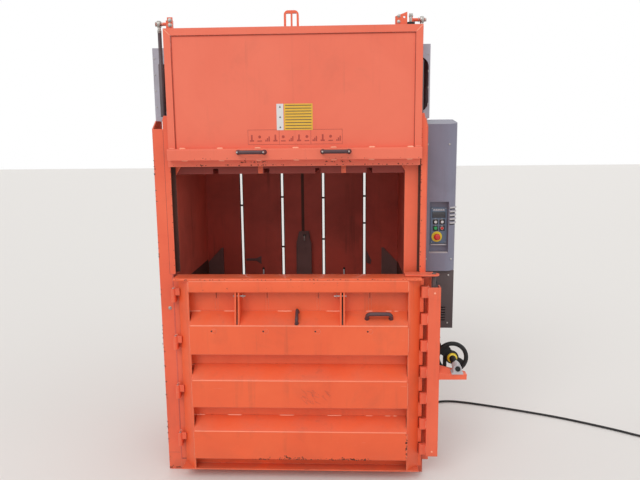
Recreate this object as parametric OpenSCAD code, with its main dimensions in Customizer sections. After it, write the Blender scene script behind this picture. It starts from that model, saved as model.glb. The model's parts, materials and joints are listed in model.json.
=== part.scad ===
// Vertical recycling baler: a steel press frame with a ribbed front door, a lifting gate, a press plate
// on two telescopic cylinders, a tipping bale ejector and a claw lock worked by a handwheel.
// X runs to the right, Y to the back and Z up. The origin is the middle of the frame on the floor.

/* [Chamber] */
// Inside width of the pressing chamber
chamber_w = 1200; // [1100:10:1300]
// Inside depth of the pressing chamber
chamber_d = 800; // [700:10:900]
// Height of the side wall tops above the floor
wall_top = 1740; // [1730:2:1745]
// Thickness of the structural plates
plate_t = 6; // [4:1:8]
// Height of the base beams
base_h = 58; // [48:1:64]
// Depth of the ribs behind the back wall
back_rib_d = 50; // [30:1:80]
// Depth of the ribs on the outside of the side walls
side_rib_d = 34; // [20:1:40]
// Distance between neighbouring strap slots
strap_pitch = 256; // [230:1:270]
// Width of the strap slots
slot_w = 14; // [10:1:20]
// Height of the upper end of the strap slots
slot_top = 1530; // [1400:10:1560]

/* [Columns and crown] */
// Distance from the chamber wall's outer face to the column's outer face
column_w = 64; // [62:1:70]
// Depth of the columns
column_d = 150; // [120:1:160]
// Height of the column tops at the front
column_top = 1787; // [1775:1:1800]
// Width of the left guide strip
guide_w = 29; // [24:1:32]
// Height of the guide strip tops
guide_top = 1850; // [1840:1:1860]
// Clear depth of the groove that the gate runs in
groove_d = 34; // [30:1:38]
// Height of the crown beams
crown_h = 91; // [80:1:100]
// Depth of the crown cross beams
crown_beam_d = 50; // [40:1:60]
// Thickness of the cylinder mounting plate
mount_plate_t = 20; // [12:1:25]

/* [Hood and cabinets] */
// Half of the width of the top hood
hood_half_w = 695; // [680:1:710]
// Height of the top hood
hood_h = 359; // [340:1:380]
// Thickness of the sheet covers
sheet_t = 3; // [2:0.5:4]
// Distance from the middle of the frame to the right side of the control cabinet
cabinet_right = 846; // [830:1:870]
// Depth of the control cabinet
cabinet_d = 410; // [380:5:450]
// Height of the lower edge of the control cabinet
cabinet_z = 1046; // [1030:1:1060]
// Radius of the rounded front corner of the control cabinet
cabinet_r = 60; // [45:1:70]
// Depth of the control recess
recess_d = 35; // [30:1:40]
// Height of the power cabinet under the control cabinet
power_h = 314; // [260:1:340]
// Diameter of the mushroom button's head
mushroom_d = 34; // [28:1:40]
// Diameter of the push buttons
button_d = 18; // [14:1:20]

/* [Door] */
// Height of the door's top
door_top = 1064; // [1055:1:1068]
// Clearance between the door and the base
door_gap = 3; // [2:0.5:5]
// Distance from the column face to the front of the door ribs
door_d = 120; // [112:1:130]
// Thickness of the door plates
door_t = 6; // [4:1:8]
// Height of the front face of a door rib
rib_h = 147; // [120:1:160]
// Distance between neighbouring door ribs
rib_pitch = 277; // [262:1:285]
// Height of the lower edge of the lowest door rib
rib_z = 128; // [110:1:140]
// Distance from the column face to the hinge axis
hinge_y = 30; // [26:1:34]
// Diameter of the hinge barrels
barrel_d = 24; // [20:1:26]
// Diameter of the hinge pins
hinge_pin_d = 12; // [8:1:14]
// Height of a hinge
hinge_h = 70; // [50:1:90]

/* [Claw lock] */
// Number of claws
claw_count = 7; // [5:1:7]
// Distance between neighbouring claws
claw_pitch = 137.5; // [130:0.5:139]
// Height of a claw
claw_h = 55; // [45:1:58]
// Height of the lower edge of the lowest claw
claw_z = 133; // [128:1:140]
// Width of the lock bar
lock_w = 59; // [52:1:64]
// Depth of the lock bar
lock_d = 60; // [54:1:62]
// Diameter of the rod that the lock bar slides on
lock_rod_d = 20; // [14:1:24]
// Module of the pinion and rack teeth
gear_m = 2.5; // [2:0.25:3]
// Number of teeth on the pinion
gear_n = 20; // [18:1:20]
// Radius of the handwheel
wheel_r = 84; // [75:1:90]
// Thickness of the handwheel's rim
rim_d = 22; // [18:1:24]
// Diameter of the handwheel's shaft
shaft_d = 24; // [20:1:26]
// Diameter of the sleeve between the handwheel and the bearing
sleeve_d = 34; // [28:1:38]

/* [Gate] */
// Distance of the gate's left edge inside the chamber wall
gate_inset = 15; // [13:1:18]
// Distance that the gate's right edge reaches past the chamber wall
gate_lap = 36; // [33:1:38]
// Height of the gate's upper edge when it is open
gate_top = 2252; // [2200:1:2300]
// Height of the gate's ledge when it is open
ledge_z = 1690; // [1680:1:1700]
// Depth of the gate's border frame
gate_d = 30; // [24:1:36]
// Width of the gate's border
border_w = 33; // [25:1:40]
// Depth of the bar along the gate's lower edge
gate_bar_d = 60; // [50:1:70]
// Travel of the gate
gate_travel = 520; // [480:5:520]
// Outer diameter of the balance struts
strut_d = 28; // [22:1:30]
// Diameter of the balance strut rods
strut_rod_d = 14; // [10:1:16]

/* [Press] */
// Height of the press plate's underside when it is up
press_z = 1564; // [1562:1:1575]
// Thickness of the press plate
press_t = 36; // [30:1:40]
// Travel of the press plate
press_travel = 800; // [700:10:800]
// Distance between the press cylinders
cylinder_span = 500; // [400:10:600]
// Outer diameter of the cylinder barrels
cylinder_d = 130; // [120:1:140]
// Outer diameter of the middle stages
stage_d = 90; // [80:1:96]
// Diameter of the piston rods
rod_d = 60; // [45:1:64]
// Thickness of the ejector's bars
ejector_t = 12; // [10:1:14]
// Diameter of the mains cable
cable_d = 13; // [10:1:14]

/* [Hidden] */
$fn = 48;

orange = [0.89, 0.33, 0.16];
grey = [0.62, 0.63, 0.65];
dark_grey = [0.34, 0.33, 0.32];
steel = [0.72, 0.72, 0.72];
black = [0.1, 0.1, 0.1];

// General clearances: a running fit, a gap between moving plates and a seat of a pressed pin
fit = 0.1;
gap = 3;

// Main planes, measured from the column faces (Y) and from the middle (X)
half_w = chamber_w / 2;
wall_x = half_w + plate_t;
column_x = wall_x + column_w;
side_inner = column_x - plate_t;
back_y = chamber_d + plate_t;
frame_d = back_y + back_rib_d;
floor_z = base_h + plate_t;
crown_z = wall_top + crown_h;
rail_z = door_top;
slot_xs = [for (i = [-1.5:1:1.5]) 8 + i * strap_pitch];

// Gate and guide places
gate_x = [-half_w + gate_inset, half_w + gate_lap];
gate_mid = (gate_x[0] + gate_x[1]) / 2;
guide_y = plate_t;
strip_y = guide_y + groove_d;
guide_left = [gate_x[0] - gap - guide_w, gate_x[0] - gap];
guide_right = [gate_x[1] + gap, side_inner];
strut_y = 75;
strut_x = [-(wall_x + side_inner) / 2 + 4, (wall_x + side_inner) / 2 + 5];
eye_z = gate_top + 38;
strut_foot_z = door_top + 16;

// Door places
door_x = [-half_w + 26, half_w + 40];
door_back = 10;
door_face = door_d - 22;
skin_y = 40;
door_z = base_h - gap;
sill_z = door_z + door_t;
rail_under = door_top - 14;
rail_face_h = 62;
hinge_x = -half_w + 5;
hinge_zs = [188, 450, 713, 962];
rib_slope_h = 56;

// Lock places
teeth_x = [door_x[1] - 20, door_x[1] + 17];
teeth_y = [-45, -25];
claw_slack = 4;
claw_drop = claw_pitch / 2;
claw_x = [door_x[1] + gap, door_x[1] + 36];
lock_x = [claw_x[1], claw_x[1] + lock_w];
lock_y = [-25 - lock_d, -25];
lock_z = [claw_z, claw_z + claw_pitch * (claw_count - 1) + claw_h];
lock_rod_x = (lock_x[0] + lock_x[1]) / 2;
lock_rod_y = lock_y[1] - 20;
wheel_x = lock_x[1] + 85;
wheel_z = 612;
wheel_y = [44, 57];
spoke_turns = [135, 315];
hub_r = 34;
tooth_slack = 0.3;
pitch_r = gear_m * gear_n / 2;
gear_y = [68, 88];
bearing_y = [-112, -66];
bearing_z = wheel_z - 30;
bracket_z = [545, 602];
bracket_reach = 46;
shaft_y = [bearing_y[0] - 8, 94];

// Press places
press_x = half_w - 12;
press_y = [55, chamber_d - 48];
press_beam_h = 80;
press_top = press_z + press_t + press_beam_h;
cylinder_y = (press_y[0] + press_y[1]) / 2;
barrel_z = [press_top + 10, press_top + 10 + press_travel / 2 + 80];

// Cabinet places
cabinet_x = wall_x + side_rib_d;
cabinet_y = column_d;
cabinet_low_top = 1801;
cabinet_high_top = crown_z - 1;
recess_x = [705, 803];
recess_z = [1141, 1408];
panel_x = [717, 798];
panel_z = [1189, 1377];
panel_t = 6;
panel_y = cabinet_y + recess_d - panel_t;
stop_at = [748, 1224];
button_at = [[741, 1301], [775, 1301], [741, 1268], [775, 1268]];

// Ejector places
ejector_y = 20;
ejector_z = floor_z + 2 + ejector_t / 2;
ejector_top = 1060;
ejector_back = chamber_d - gap;
ejector_bar_xs = [-330, 18, 340];
hook_hole_d = 16;
hook_hole_z = ejector_top + 80;

// The cable's route on the floor, from the gland down and round to the coil
gland_at = [760, 400, cabinet_z - power_h];
cable_route = [[760, 400, 700], [760, 400, 560], [760, 400, 420], [760, 400, 280], [760, 401, 180],
    [761, 408, 110], [763, 430, 55], [767, 470, 20], [772, 530, 7], [778, 610, 7], [788, 690, 7],
    [808, 765, 7], [842, 825, 7], [895, 860, 7], [965, 868, 7], [1050, 852, 7], [1151, 820, 7],
    [1265, 778, 7], [1385, 730, 7], [1500, 682, 7], [1604, 634, 7], [1705, 580, 7], [1800, 525, 7],
    [1890, 470, 7], [1970, 415, 7], [2045, 372, 7], [2110, 350, 7]];
coil_at = [2150, 425];
coil_mid_r = 75;
coil_turn_layers = 3;

// A block between two limits along each axis
module block(x, y, z) {
    translate([x[0], y[0], z[0]]) cube([x[1] - x[0], y[1] - y[0], z[1] - z[0]]);
}

// Moves a piece drawn from the column faces to the part's own origin
module at_front() {
    translate([0, -frame_d / 2, 0]) children();
}

// A piece and its mirror image on the other side
module both_sides() {
    children();
    mirror([1, 0, 0]) children();
}

// A profile drawn in Y and Z, run along X
module along_x(x) {
    translate([x[0], 0, 0]) rotate([90, 0, 90]) linear_extrude(x[1] - x[0]) children();
}

// A profile drawn in X and Z, run along Y
module along_y(y) {
    translate([0, y[1], 0]) rotate([90, 0, 0]) linear_extrude(y[1] - y[0]) children();
}

// A profile drawn in X and Y, run along Z
module along_z(z) {
    translate([0, 0, z[0]]) linear_extrude(z[1] - z[0]) children();
}

// Round bars along each axis
module rod_x(d, x, y, z) {
    translate([x[0], y, z]) rotate([0, 90, 0]) cylinder(d = d, h = x[1] - x[0]);
}

module rod_y(d, x, y, z) {
    translate([x, y[1], z]) rotate([90, 0, 0]) cylinder(d = d, h = y[1] - y[0]);
}

module rod_z(d, x, y, z) {
    translate([x, y, z[0]]) cylinder(d = d, h = z[1] - z[0]);
}

// A rectangular hollow section along X
module tube_x(x, y, z, wall = 5) {
    difference() {
        block(x, y, z);
        block([x[0] - 1, x[1] + 1], [y[0] + wall, y[1] - wall], [z[0] + wall, z[1] - wall]);
    }
}

// A rectangular hollow section along Y
module tube_y(x, y, z, wall = 5) {
    difference() {
        block(x, y, z);
        block([x[0] + wall, x[1] - wall], [y[0] - 1, y[1] + 1], [z[0] + wall, z[1] - wall]);
    }
}

// Frame

module base_frame() {
    at_front() color(orange) {
        both_sides() tube_y([-side_inner, -wall_x], [plate_t, back_y], [0, base_h]);
        for (y = [0, (back_y - 60) / 2, back_y - 60]) tube_x([-wall_x, wall_x], [y, y + 60], [0, base_h]);
    }
}

module floor_plate() {
    lug_z = ejector_z + 12;
    at_front() color(orange) difference() {
        union() {
            block([-half_w, half_w], [0, chamber_d], [base_h, floor_z]);
            for (x = ejector_bar_xs, side = [-1, 1])
                along_x([x + side * 32 - 5, x + side * 32 + 5])
                    polygon([[8, floor_z], [44, floor_z], [32, lug_z], [12, lug_z]]);
        }
        rod_x(hinge_pin_d + fit, [-half_w, half_w], ejector_y, ejector_z);
    }
}

module back_wall() {
    at_front() color(orange) difference() {
        block([-wall_x, wall_x], [chamber_d, back_y], [base_h, wall_top]);
        for (x = slot_xs)
            block([x - slot_w / 2, x + slot_w / 2], [chamber_d - 1, back_y + 1], [floor_z + 90,
                slot_top]);
    }
}

module back_stiffeners() {
    rib_xs = [for (i = [-2:2]) 8 + i * strap_pitch];
    at_front() color(orange) {
        for (x = rib_xs) difference() {
            block([x - 40, x + 40], [back_y, frame_d], [floor_z + 90, slot_top + 30]);
            block([x - 34, x + 34], [back_y - 1, frame_d - plate_t], [floor_z + 89, slot_top + 31]);
        }
        for (z = [base_h, slot_top + 30]) tube_x([-wall_x, wall_x], [back_y, frame_d], [z,
            floor_z + 90 - base_h + z]);
    }
}

// A side wall, cut back above the door for the gate's groove, with ribs on its outside
module side_wall() {
    along_x([-wall_x, -half_w]) polygon([[0, base_h], [chamber_d, base_h], [chamber_d, wall_top],
        [strip_y + plate_t, wall_top], [strip_y + plate_t, rail_z], [0, rail_z]]);
    along_y([column_d, chamber_d]) for (z = [260, 560, 860, 1160, 1460]) translate([-wall_x,
        z]) side_rib_profile();
}

// A folded channel with its open side against the wall
module side_rib_profile() {
    rib_h = 80;
    polygon([[0, 0], [-side_rib_d, 0], [-side_rib_d, rib_h], [0, rib_h], [0, rib_h - plate_t],
        [plate_t - side_rib_d, rib_h - plate_t], [plate_t - side_rib_d, plate_t], [0, plate_t]]);
}

module side_wall_left() {
    at_front() color(orange) side_wall();
}

module side_wall_right() {
    at_front() color(orange) mirror([1, 0, 0]) side_wall();
}

// A column: a folded channel, closed at the front and outside, with the foot of a balance strut inside
module column() {
    slope_h = 41;
    along_x([-column_x, -side_inner]) polygon([[0, 0], [column_d, 0], [column_d, column_top + slope_h],
        [60, column_top + slope_h], [0, column_top]]);
    block([-side_inner, -wall_x], [0, plate_t], [0, rail_z]);
    block([-side_inner, -wall_x], [column_d - plate_t, column_d], [base_h, wall_top]);
    block([-side_inner, -wall_x], [strut_y - 18, strut_y + 18], [strut_foot_z - 10, strut_foot_z]);
}

module column_left() {
    at_front() color(orange) {
        column();
        block([-side_inner, guide_left[0]], [0, plate_t], [rail_z, column_top]);
    }
}

module column_right() {
    at_front() color(orange) mirror([1, 0, 0]) column();
}

// The guide strips in front of the gate's grooves and the strips behind them
module gate_tracks() {
    at_front() color(orange) {
        along_y([0, plate_t]) polygon([[guide_left[0], rail_z], [guide_left[1], rail_z],
            [guide_left[1], guide_top], [guide_left[0] + 6, guide_top], [guide_left[0], guide_top - 20]]);
        along_y([0, plate_t]) polygon([[guide_right[0], rail_z], [guide_right[1], rail_z],
            [guide_right[1], guide_top - 55], [guide_right[0] + 12, guide_top], [guide_right[0],
                guide_top]]);
        block([-wall_x, -half_w + 22], [strip_y, strip_y + plate_t], [rail_z, wall_top]);
        block([half_w - 35, half_w + 40], [strip_y, strip_y + plate_t], [rail_z, wall_top]);
    }
}

module crown_frame() {
    z = [wall_top, crown_z];
    cross_ys = [110, cylinder_y - cylinder_d / 2 - 2 - crown_beam_d, cylinder_y + cylinder_d / 2 + 2,
        chamber_d - crown_beam_d];
    plate_y = [cross_ys[1], cross_ys[2] + crown_beam_d];
    plate_x = cylinder_span / 2 + cylinder_d;
    at_front() color(orange) {
        both_sides() tube_y([-cabinet_x, -half_w], [column_d, back_y], z);
        for (y = cross_ys) tube_x([-half_w, half_w], [y, y + crown_beam_d], z);
        difference() {
            block([-plate_x, plate_x], plate_y, [crown_z, crown_z + mount_plate_t]);
            for (side = [-1, 1])
                rod_z(cylinder_d + 2 * fit, side * cylinder_span / 2, cylinder_y, [crown_z - 1,
                    crown_z + mount_plate_t + 1]);
        }
    }
}

// The sheet hood over the cylinders, with a rounded opening in its front
module hood() {
    z = [crown_z, crown_z + hood_h];
    corner = 50;
    at_front() color(grey) difference() {
        block([-hood_half_w, hood_half_w], [column_d, frame_d], z);
        block([-hood_half_w + sheet_t, hood_half_w - sheet_t], [column_d + sheet_t, frame_d - sheet_t],
            [z[0] + sheet_t, z[1] - sheet_t]);
        block([-cabinet_x + 20, cabinet_x - 20], [column_d + 20, back_y - 20], [z[0] - 1,
            z[0] + sheet_t + 1]);
        along_y([column_d - 1, column_d + sheet_t + 1])
            hood_opening([-hood_half_w + 45, hood_half_w - 8], [z[0] + 30, z[1] - 60], corner);
    }
}

// A window with four round corners
module hood_opening(x, z, r) {
    for (cx = [x[0] + r, x[1] - r], cz = [z[0] + r, z[1] - r]) translate([cx, cz]) circle(r);
    translate([x[0] + r, z[0]]) square([x[1] - x[0] - 2 * r, z[1] - z[0]]);
    translate([x[0], z[0] + r]) square([x[1] - x[0], z[1] - z[0] - 2 * r]);
}

// Press

module cylinder_barrels() {
    at_front() color(dark_grey) for (side = [-1, 1]) translate([side * cylinder_span / 2, cylinder_y, 0])
        rotate_extrude() polygon([[stage_d / 2 + fit, barrel_z[0]], [cylinder_d / 2, barrel_z[0]],
            [cylinder_d / 2, crown_z + mount_plate_t], [cylinder_d / 2 + 28, crown_z + mount_plate_t],
            [cylinder_d / 2 + 28, crown_z + mount_plate_t + 18], [cylinder_d / 2,
                crown_z + mount_plate_t + 18],
            [cylinder_d / 2, barrel_z[1] + 8], [cylinder_d / 2 - 8, barrel_z[1] + 16], [0,
                barrel_z[1] + 16],
            [0, barrel_z[1]], [stage_d / 2 + fit, barrel_z[1]]]);
}

module cylinder_stages() {
    z = [barrel_z[0] - 4, barrel_z[1] - 10];
    at_front() color(steel) for (side = [-1, 1]) translate([side * cylinder_span / 2, cylinder_y, 0])
        rotate_extrude() polygon([[rod_d / 2 + fit, z[0]], [stage_d / 2, z[0]], [stage_d / 2, z[1]],
            [rod_d / 2 + fit, z[1]]]);
}

module piston_rods() {
    at_front() color(steel) for (side = [-1, 1])
        rod_z(rod_d, side * cylinder_span / 2, cylinder_y, [press_top, barrel_z[1] - 20]);
}

// The press plate: a thick plate with a groove for each strap, and two box beams on its top
module press_plate() {
    groove_w = slot_w + 14;
    beam_y = 150;
    at_front() color(orange) {
        difference() {
            block([-press_x, press_x], press_y, [press_z, press_z + press_t]);
            for (x = slot_xs)
                block([x - groove_w / 2, x + groove_w / 2], [press_y[0] - 1, press_y[1] + 1],
                    [press_z - 1, press_z + press_t - 10]);
        }
        tube_x([-press_x + 60, press_x - 60], [cylinder_y - beam_y / 2, cylinder_y + beam_y / 2],
            [press_z + press_t, press_top], 10);
        both_sides() for (y = [press_y[0], press_y[1] - 10])
            along_y([y, y + 10]) polygon([[-press_x, press_z + press_t], [-press_x + 160,
                press_z + press_t],
                [-press_x + 20, press_top - 5], [-press_x, press_top - 5]]);
    }
}

module press_guides() {
    at_front() color(black) both_sides() for (y = [press_y[0] + 40, press_y[1] - 140])
        block([-press_x - 9, -press_x], [y, y + 100], [press_z + 4, press_z + press_t - 2]);
}

// The ejector's bars on the floor and their hooked uprights against the back wall
module ejector_frame() {
    half_t = ejector_t / 2;
    at_front() color(orange) difference() {
        union() {
            for (x = ejector_bar_xs) {
                rod_x(ejector_t, [x - 25, x + 25], ejector_y, ejector_z);
                block([x - 25, x + 25], [ejector_y, ejector_back], [ejector_z - half_t,
                    ejector_z + half_t]);
            }
            for (x = [ejector_bar_xs[0], ejector_bar_xs[2]])
                block([x - 25, x + 25], [ejector_back - ejector_t, ejector_back], [ejector_z,
                    ejector_top - 420]);
            block([-half_w + gap, half_w - gap], [ejector_back - ejector_t, ejector_back],
                [ejector_z - half_t, ejector_z + 160]);
            along_y([ejector_back - 2 * ejector_t, ejector_back - ejector_t]) ejector_hook_plate();
            both_sides() along_y([ejector_back - ejector_t, ejector_back]) polygon([[-half_w + gap,
                ejector_z],
                [-half_w + 100, ejector_z], [-half_w + 100, ejector_top], [-half_w + 88, ejector_top],
                [-half_w + gap, ejector_top - 90]]);
        }
        rod_x(hinge_pin_d - 4 + 2 * fit, [-half_w, half_w], ejector_y, ejector_z);
        rod_y(hook_hole_d, ejector_bar_xs[1], [ejector_back - 2 * ejector_t - 1, ejector_back],
            hook_hole_z);
    }
}

// The bottle-shaped plate in the middle that the tipping hook pulls on
module ejector_hook_plate() {
    x = ejector_bar_xs[1];
    shoulder = ejector_top + 33;
    polygon([[x - 42, ejector_z], [x + 42, ejector_z], [x + 42, shoulder], [x + 22, shoulder + 50],
        [x + 22, shoulder + 75], [x - 22, shoulder + 75], [x - 22, shoulder + 50], [x - 42, shoulder]]);
}

// A shackle with its ears on both sides of the hook plate and its pin through the plate's hole
module shackle() {
    x = ejector_bar_xs[1];
    y = [ejector_back - 3 * ejector_t, ejector_back];
    slack = 2.5;
    z = [hook_hole_z - 10, hook_hole_z + 48];
    at_front() color(steel) {
        difference() {
            along_x([x - 6, x + 6]) {
                translate([y[0], z[0]]) square([y[1] - y[0], z[1] - z[0] - (y[1] - y[0]) / 2]);
                translate([(y[0] + y[1]) / 2, z[1] - (y[1] - y[0]) / 2]) circle(d = y[1] - y[0]);
            }
            block([x - 7, x + 7], [y[0] + ejector_t - slack, y[1] - ejector_t + slack], [z[0] - 1,
                z[1] - 10]);
        }
        rod_y(hook_hole_d, x, [y[0] - 4, y[1]], hook_hole_z);
    }
}

// Cabinets and controls

// The control cabinet's outline from above, drawn a wall's thickness smaller by inset
module cabinet_plan(inset) {
    x = [cabinet_x + inset, cabinet_right - inset];
    y = [cabinet_y + inset, cabinet_y + cabinet_d - inset];
    r = cabinet_r - inset;
    translate([x[0], y[0]]) square([x[1] - r - x[0], y[1] - y[0]]);
    translate([x[1] - r, y[0] + r]) square([r, y[1] - y[0] - r]);
    translate([x[1] - r, y[0] + r]) circle(r);
}

// The control cabinet's body with its sloping top
module cabinet_body(inset) {
    intersection() {
        along_z([cabinet_z + inset, cabinet_high_top]) cabinet_plan(inset);
        along_x([cabinet_x, cabinet_right]) polygon([[cabinet_y, cabinet_z], [cabinet_y + cabinet_d,
            cabinet_z],
            [cabinet_y + cabinet_d, cabinet_high_top - inset], [cabinet_y + 200,
                cabinet_high_top - inset],
            [cabinet_y, cabinet_low_top - inset]]);
    }
}

module control_cabinet() {
    liner = recess_d + sheet_t;
    at_front() color(grey) difference() {
        union() {
            difference() {
                cabinet_body(0);
                cabinet_body(sheet_t);
            }
            block([recess_x[0] - sheet_t, recess_x[1] + sheet_t], [cabinet_y + sheet_t / 2,
                cabinet_y + liner],
                [recess_z[0] - sheet_t, recess_z[1] + sheet_t]);
        }
        block(recess_x, [cabinet_y - 1, cabinet_y + recess_d], recess_z);
        for (i = [0:4]) block([recess_x[1] + 6, cabinet_right + 1], [cabinet_y - 1,
            cabinet_y + cabinet_r + 5],
            [1287 + i * 20, 1294 + i * 20]);
    }
}

module control_panel() {
    at_front() color([0.35, 0.42, 0.5]) difference() {
        union() {
            block(panel_x, [panel_y, panel_y + panel_t], panel_z);
            rod_y(54, stop_at[0], [panel_y - 4, panel_y], stop_at[1]);
            block([panel_x[0] + 8, panel_x[1] - 8], [panel_y - 1.5, panel_y], [1325, 1351]);
        }
        rod_y(mushroom_d / 2 + 2 * fit, stop_at[0], [panel_y - 5, panel_y + panel_t + 1], stop_at[1]);
        for (at = button_at) rod_y(button_d + 2 * fit, at[0], [panel_y - 1, panel_y + panel_t + 1],
            at[1]);
    }
}

module emergency_stop() {
    head_r = mushroom_d / 2;
    at_front() color("red") translate([stop_at[0], panel_y + panel_t - 5, stop_at[1]]) rotate([90, 0, 0])
        rotate_extrude() polygon([[0, 0], [head_r / 2, 0], [head_r / 2, 16], [head_r - 3, 16], [head_r,
            19],
            [head_r, 22], [head_r - 5, 27], [0, 29]]);
}

module push_button(i) {
    at_front() translate([button_at[i][0], panel_y + panel_t - 4, button_at[i][1]]) rotate([90, 0, 0])
        rotate_extrude() polygon([[0, 0], [button_d / 2, 0], [button_d / 2, 6], [button_d / 2 - 1.5,
            7.5], [0, 7.5]]);
}

module button_start() {
    color("green") push_button(2);
}

module button_stop() {
    color([0.9, 0.9, 0.9]) push_button(3);
}

module button_up() {
    color([0.2, 0.2, 0.2]) push_button(0);
}

module button_down() {
    color([0.2, 0.2, 0.2]) push_button(1);
}

module power_cabinet() {
    x = [cabinet_x, cabinet_right - 6];
    y = [cabinet_y + 20, cabinet_y + cabinet_d - 20];
    z = [cabinet_z - power_h, cabinet_z];
    at_front() color(dark_grey) difference() {
        block(x, y, z);
        block([x[0] + sheet_t, x[1] - sheet_t], [y[0] + sheet_t, y[1] - sheet_t], [z[0] + sheet_t,
            z[1] - sheet_t]);
        rod_z(cable_d, gland_at[0], gland_at[1], [z[0] - 1, z[0] + sheet_t + 1]);
        for (i = [0:5]) block([x[0] + 40, x[1] - 40], [y[0] - 1, y[0] + sheet_t + 1],
            [z[0] + 40 + i * 14, z[0] + 46 + i * 14]);
    }
}

// Oil tank, electric motor and pump on the crown, inside the hood
module power_unit() {
    x = [cylinder_span / 2 + cylinder_d + 15, half_w];
    y = [cylinder_y - 140, cylinder_y + 180];
    tank_top = crown_z + 150;
    at_front() color(dark_grey) {
        block(x, y, [crown_z, tank_top]);
        rod_z(150, (x[0] + x[1]) / 2, y[0] + 85, [tank_top, tank_top + 165]);
        block([x[0] + 50, x[1] - 50], [y[1] - 120, y[1] - 20], [tank_top, tank_top + 80]);
    }
}

// Gate balance struts

module strut_rods() {
    at_front() color(steel) for (x = strut_x)
        rod_z(strut_rod_d, x, strut_y, [strut_foot_z, strut_foot_z + gate_travel + 76]);
}

module strut_tubes() {
    low = strut_foot_z + gate_travel + 56;
    at_front() color(black) for (x = strut_x) difference() {
        union() {
            rod_z(strut_d, x, strut_y, [low, eye_z]);
            rod_x(36, [x - 12, x + 12], strut_y, eye_z);
        }
        rod_z(strut_rod_d + 2 * fit, x, strut_y, [low - 1, eye_z - 28]);
        rod_x(16 + fit, [x - 20, x + 20], strut_y, eye_z);
    }
}

// Door hinges

module hinge_lugs() {
    at_front() color(orange) for (z = hinge_zs) difference() {
        union() {
            rod_z(barrel_d, hinge_x, -hinge_y, [z - hinge_h / 2, z - fit]);
            block([hinge_x - 10, hinge_x + 10], [-hinge_y, 0], [z - hinge_h / 2, z - fit]);
        }
        rod_z(hinge_pin_d + fit, hinge_x, -hinge_y, [z - hinge_h, z + 1]);
    }
}

// The pins of the door hinges and of the ejector
module hinge_pins() {
    at_front() color(steel) {
        for (z = hinge_zs) rod_z(hinge_pin_d, hinge_x, -hinge_y, [z - hinge_h / 2, z + hinge_h / 2 + 3]);
        for (x = ejector_bar_xs) {
            rod_x(hinge_pin_d - 4, [x - 37, x + 37], ejector_y, ejector_z);
            for (side = [-1, 1]) rod_x(hinge_pin_d, [x + side * 32 - 5, x + side * 32 + 5], ejector_y,
                ejector_z);
        }
    }
}

module door_knuckles() {
    at_front() color(orange) for (z = hinge_zs) difference() {
        union() {
            rod_z(barrel_d, hinge_x, -hinge_y, [z + fit, z + hinge_h / 2]);
            block([hinge_x, door_post_x(hinge_y - 5)], [-hinge_y - 5, -hinge_y + 5], [z + fit,
                z + hinge_h / 2]);
        }
        rod_z(hinge_pin_d + 2 * fit, hinge_x, -hinge_y, [z - 1, z + hinge_h]);
    }
}

// Door

// The outer line of the left door post, from its back edge to its front edge
function door_post_x(y) = door_x[0] + (y - door_back) / (door_face - door_back) * 67;

module door_skin() {
    at_front() color(orange) {
        difference() {
            block([door_post_x(skin_y) + 8, teeth_x[0]], [-skin_y, -skin_y + door_t], [sill_z,
                rail_under]);
            for (x = slot_xs) block([x - slot_w / 2, x + slot_w / 2], [-skin_y - 1, 1], [883, 990]);
        }
        block(door_x, [-door_face, -door_back], [door_z, sill_z]);
    }
}

module door_top_rail() {
    front = -door_face;
    at_front() color(orange) difference() {
        along_x(door_x) polygon([[-4, door_top], [-4, rail_under], [front, rail_under],
            [front, rail_under - rail_face_h + 5], [front - door_t, rail_under - rail_face_h + 5],
            [front - door_t, door_top - 12], [front, door_top - 6]]);
        for (x = slot_xs) block([x - slot_w / 2, x + slot_w / 2], [front - door_t - 1, -skin_y],
            [rail_under - 20, door_top + 1]);
    }
}

// A folded rib: a flat face, a level underside and a slope back to the skin, closed at its ends
module door_rib_profile(t) {
    front = -door_d + t;
    polygon([[-skin_y, t], [front, t], [front, rib_h - t / 3], [-skin_y, rib_h + rib_slope_h - t * 1.2]]);
}

module door_ribs() {
    x = [door_x[0] + 74, door_x[1] - 64];
    at_front() color(orange) for (i = [0:2]) translate([0, 0, rib_z + i * rib_pitch]) difference() {
        along_x(x) door_rib_profile(0);
        along_x([x[0] + door_t, x[1] - door_t]) door_rib_profile(door_t);
        if (i == 2) for (sx = slot_xs) rod_y(24, sx, [-door_d - 1, -door_d + door_t + 1], 120);
    }
}

module door_posts() {
    z = [sill_z, rail_under];
    slant = 67;
    at_front() color(orange) {
        along_z(z) polygon([[door_x[0], -door_back], [door_x[0] + slant, -door_face],
            [door_x[0] + slant + 7, -door_face], [door_x[0] + 7, -door_back]]);
        along_z(z) {
            polygon([[teeth_x[0] + 8, teeth_y[0]], [door_x[1] - 64, -door_face],
                [door_x[1] - 57, -door_face], [door_x[1], teeth_y[0]]]);
            translate([teeth_x[0], teeth_y[0]]) square([door_x[1] - teeth_x[0], teeth_y[1] - teeth_y[0]]);
        }
    }
}

// The teeth on the door's closing edge, one between each pair of claws and one at each end
module door_teeth() {
    notch_h = claw_h + 2 * claw_slack;
    first = claw_z - claw_slack;
    at_front() color(orange) for (i = [0:claw_count]) {
        low = i == 0 ? sill_z : first + (i - 1) * claw_pitch + notch_h;
        high = i == claw_count ? rail_under : first + i * claw_pitch;
        block([door_x[1], teeth_x[1]], teeth_y, [low, high]);
    }
}

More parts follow.
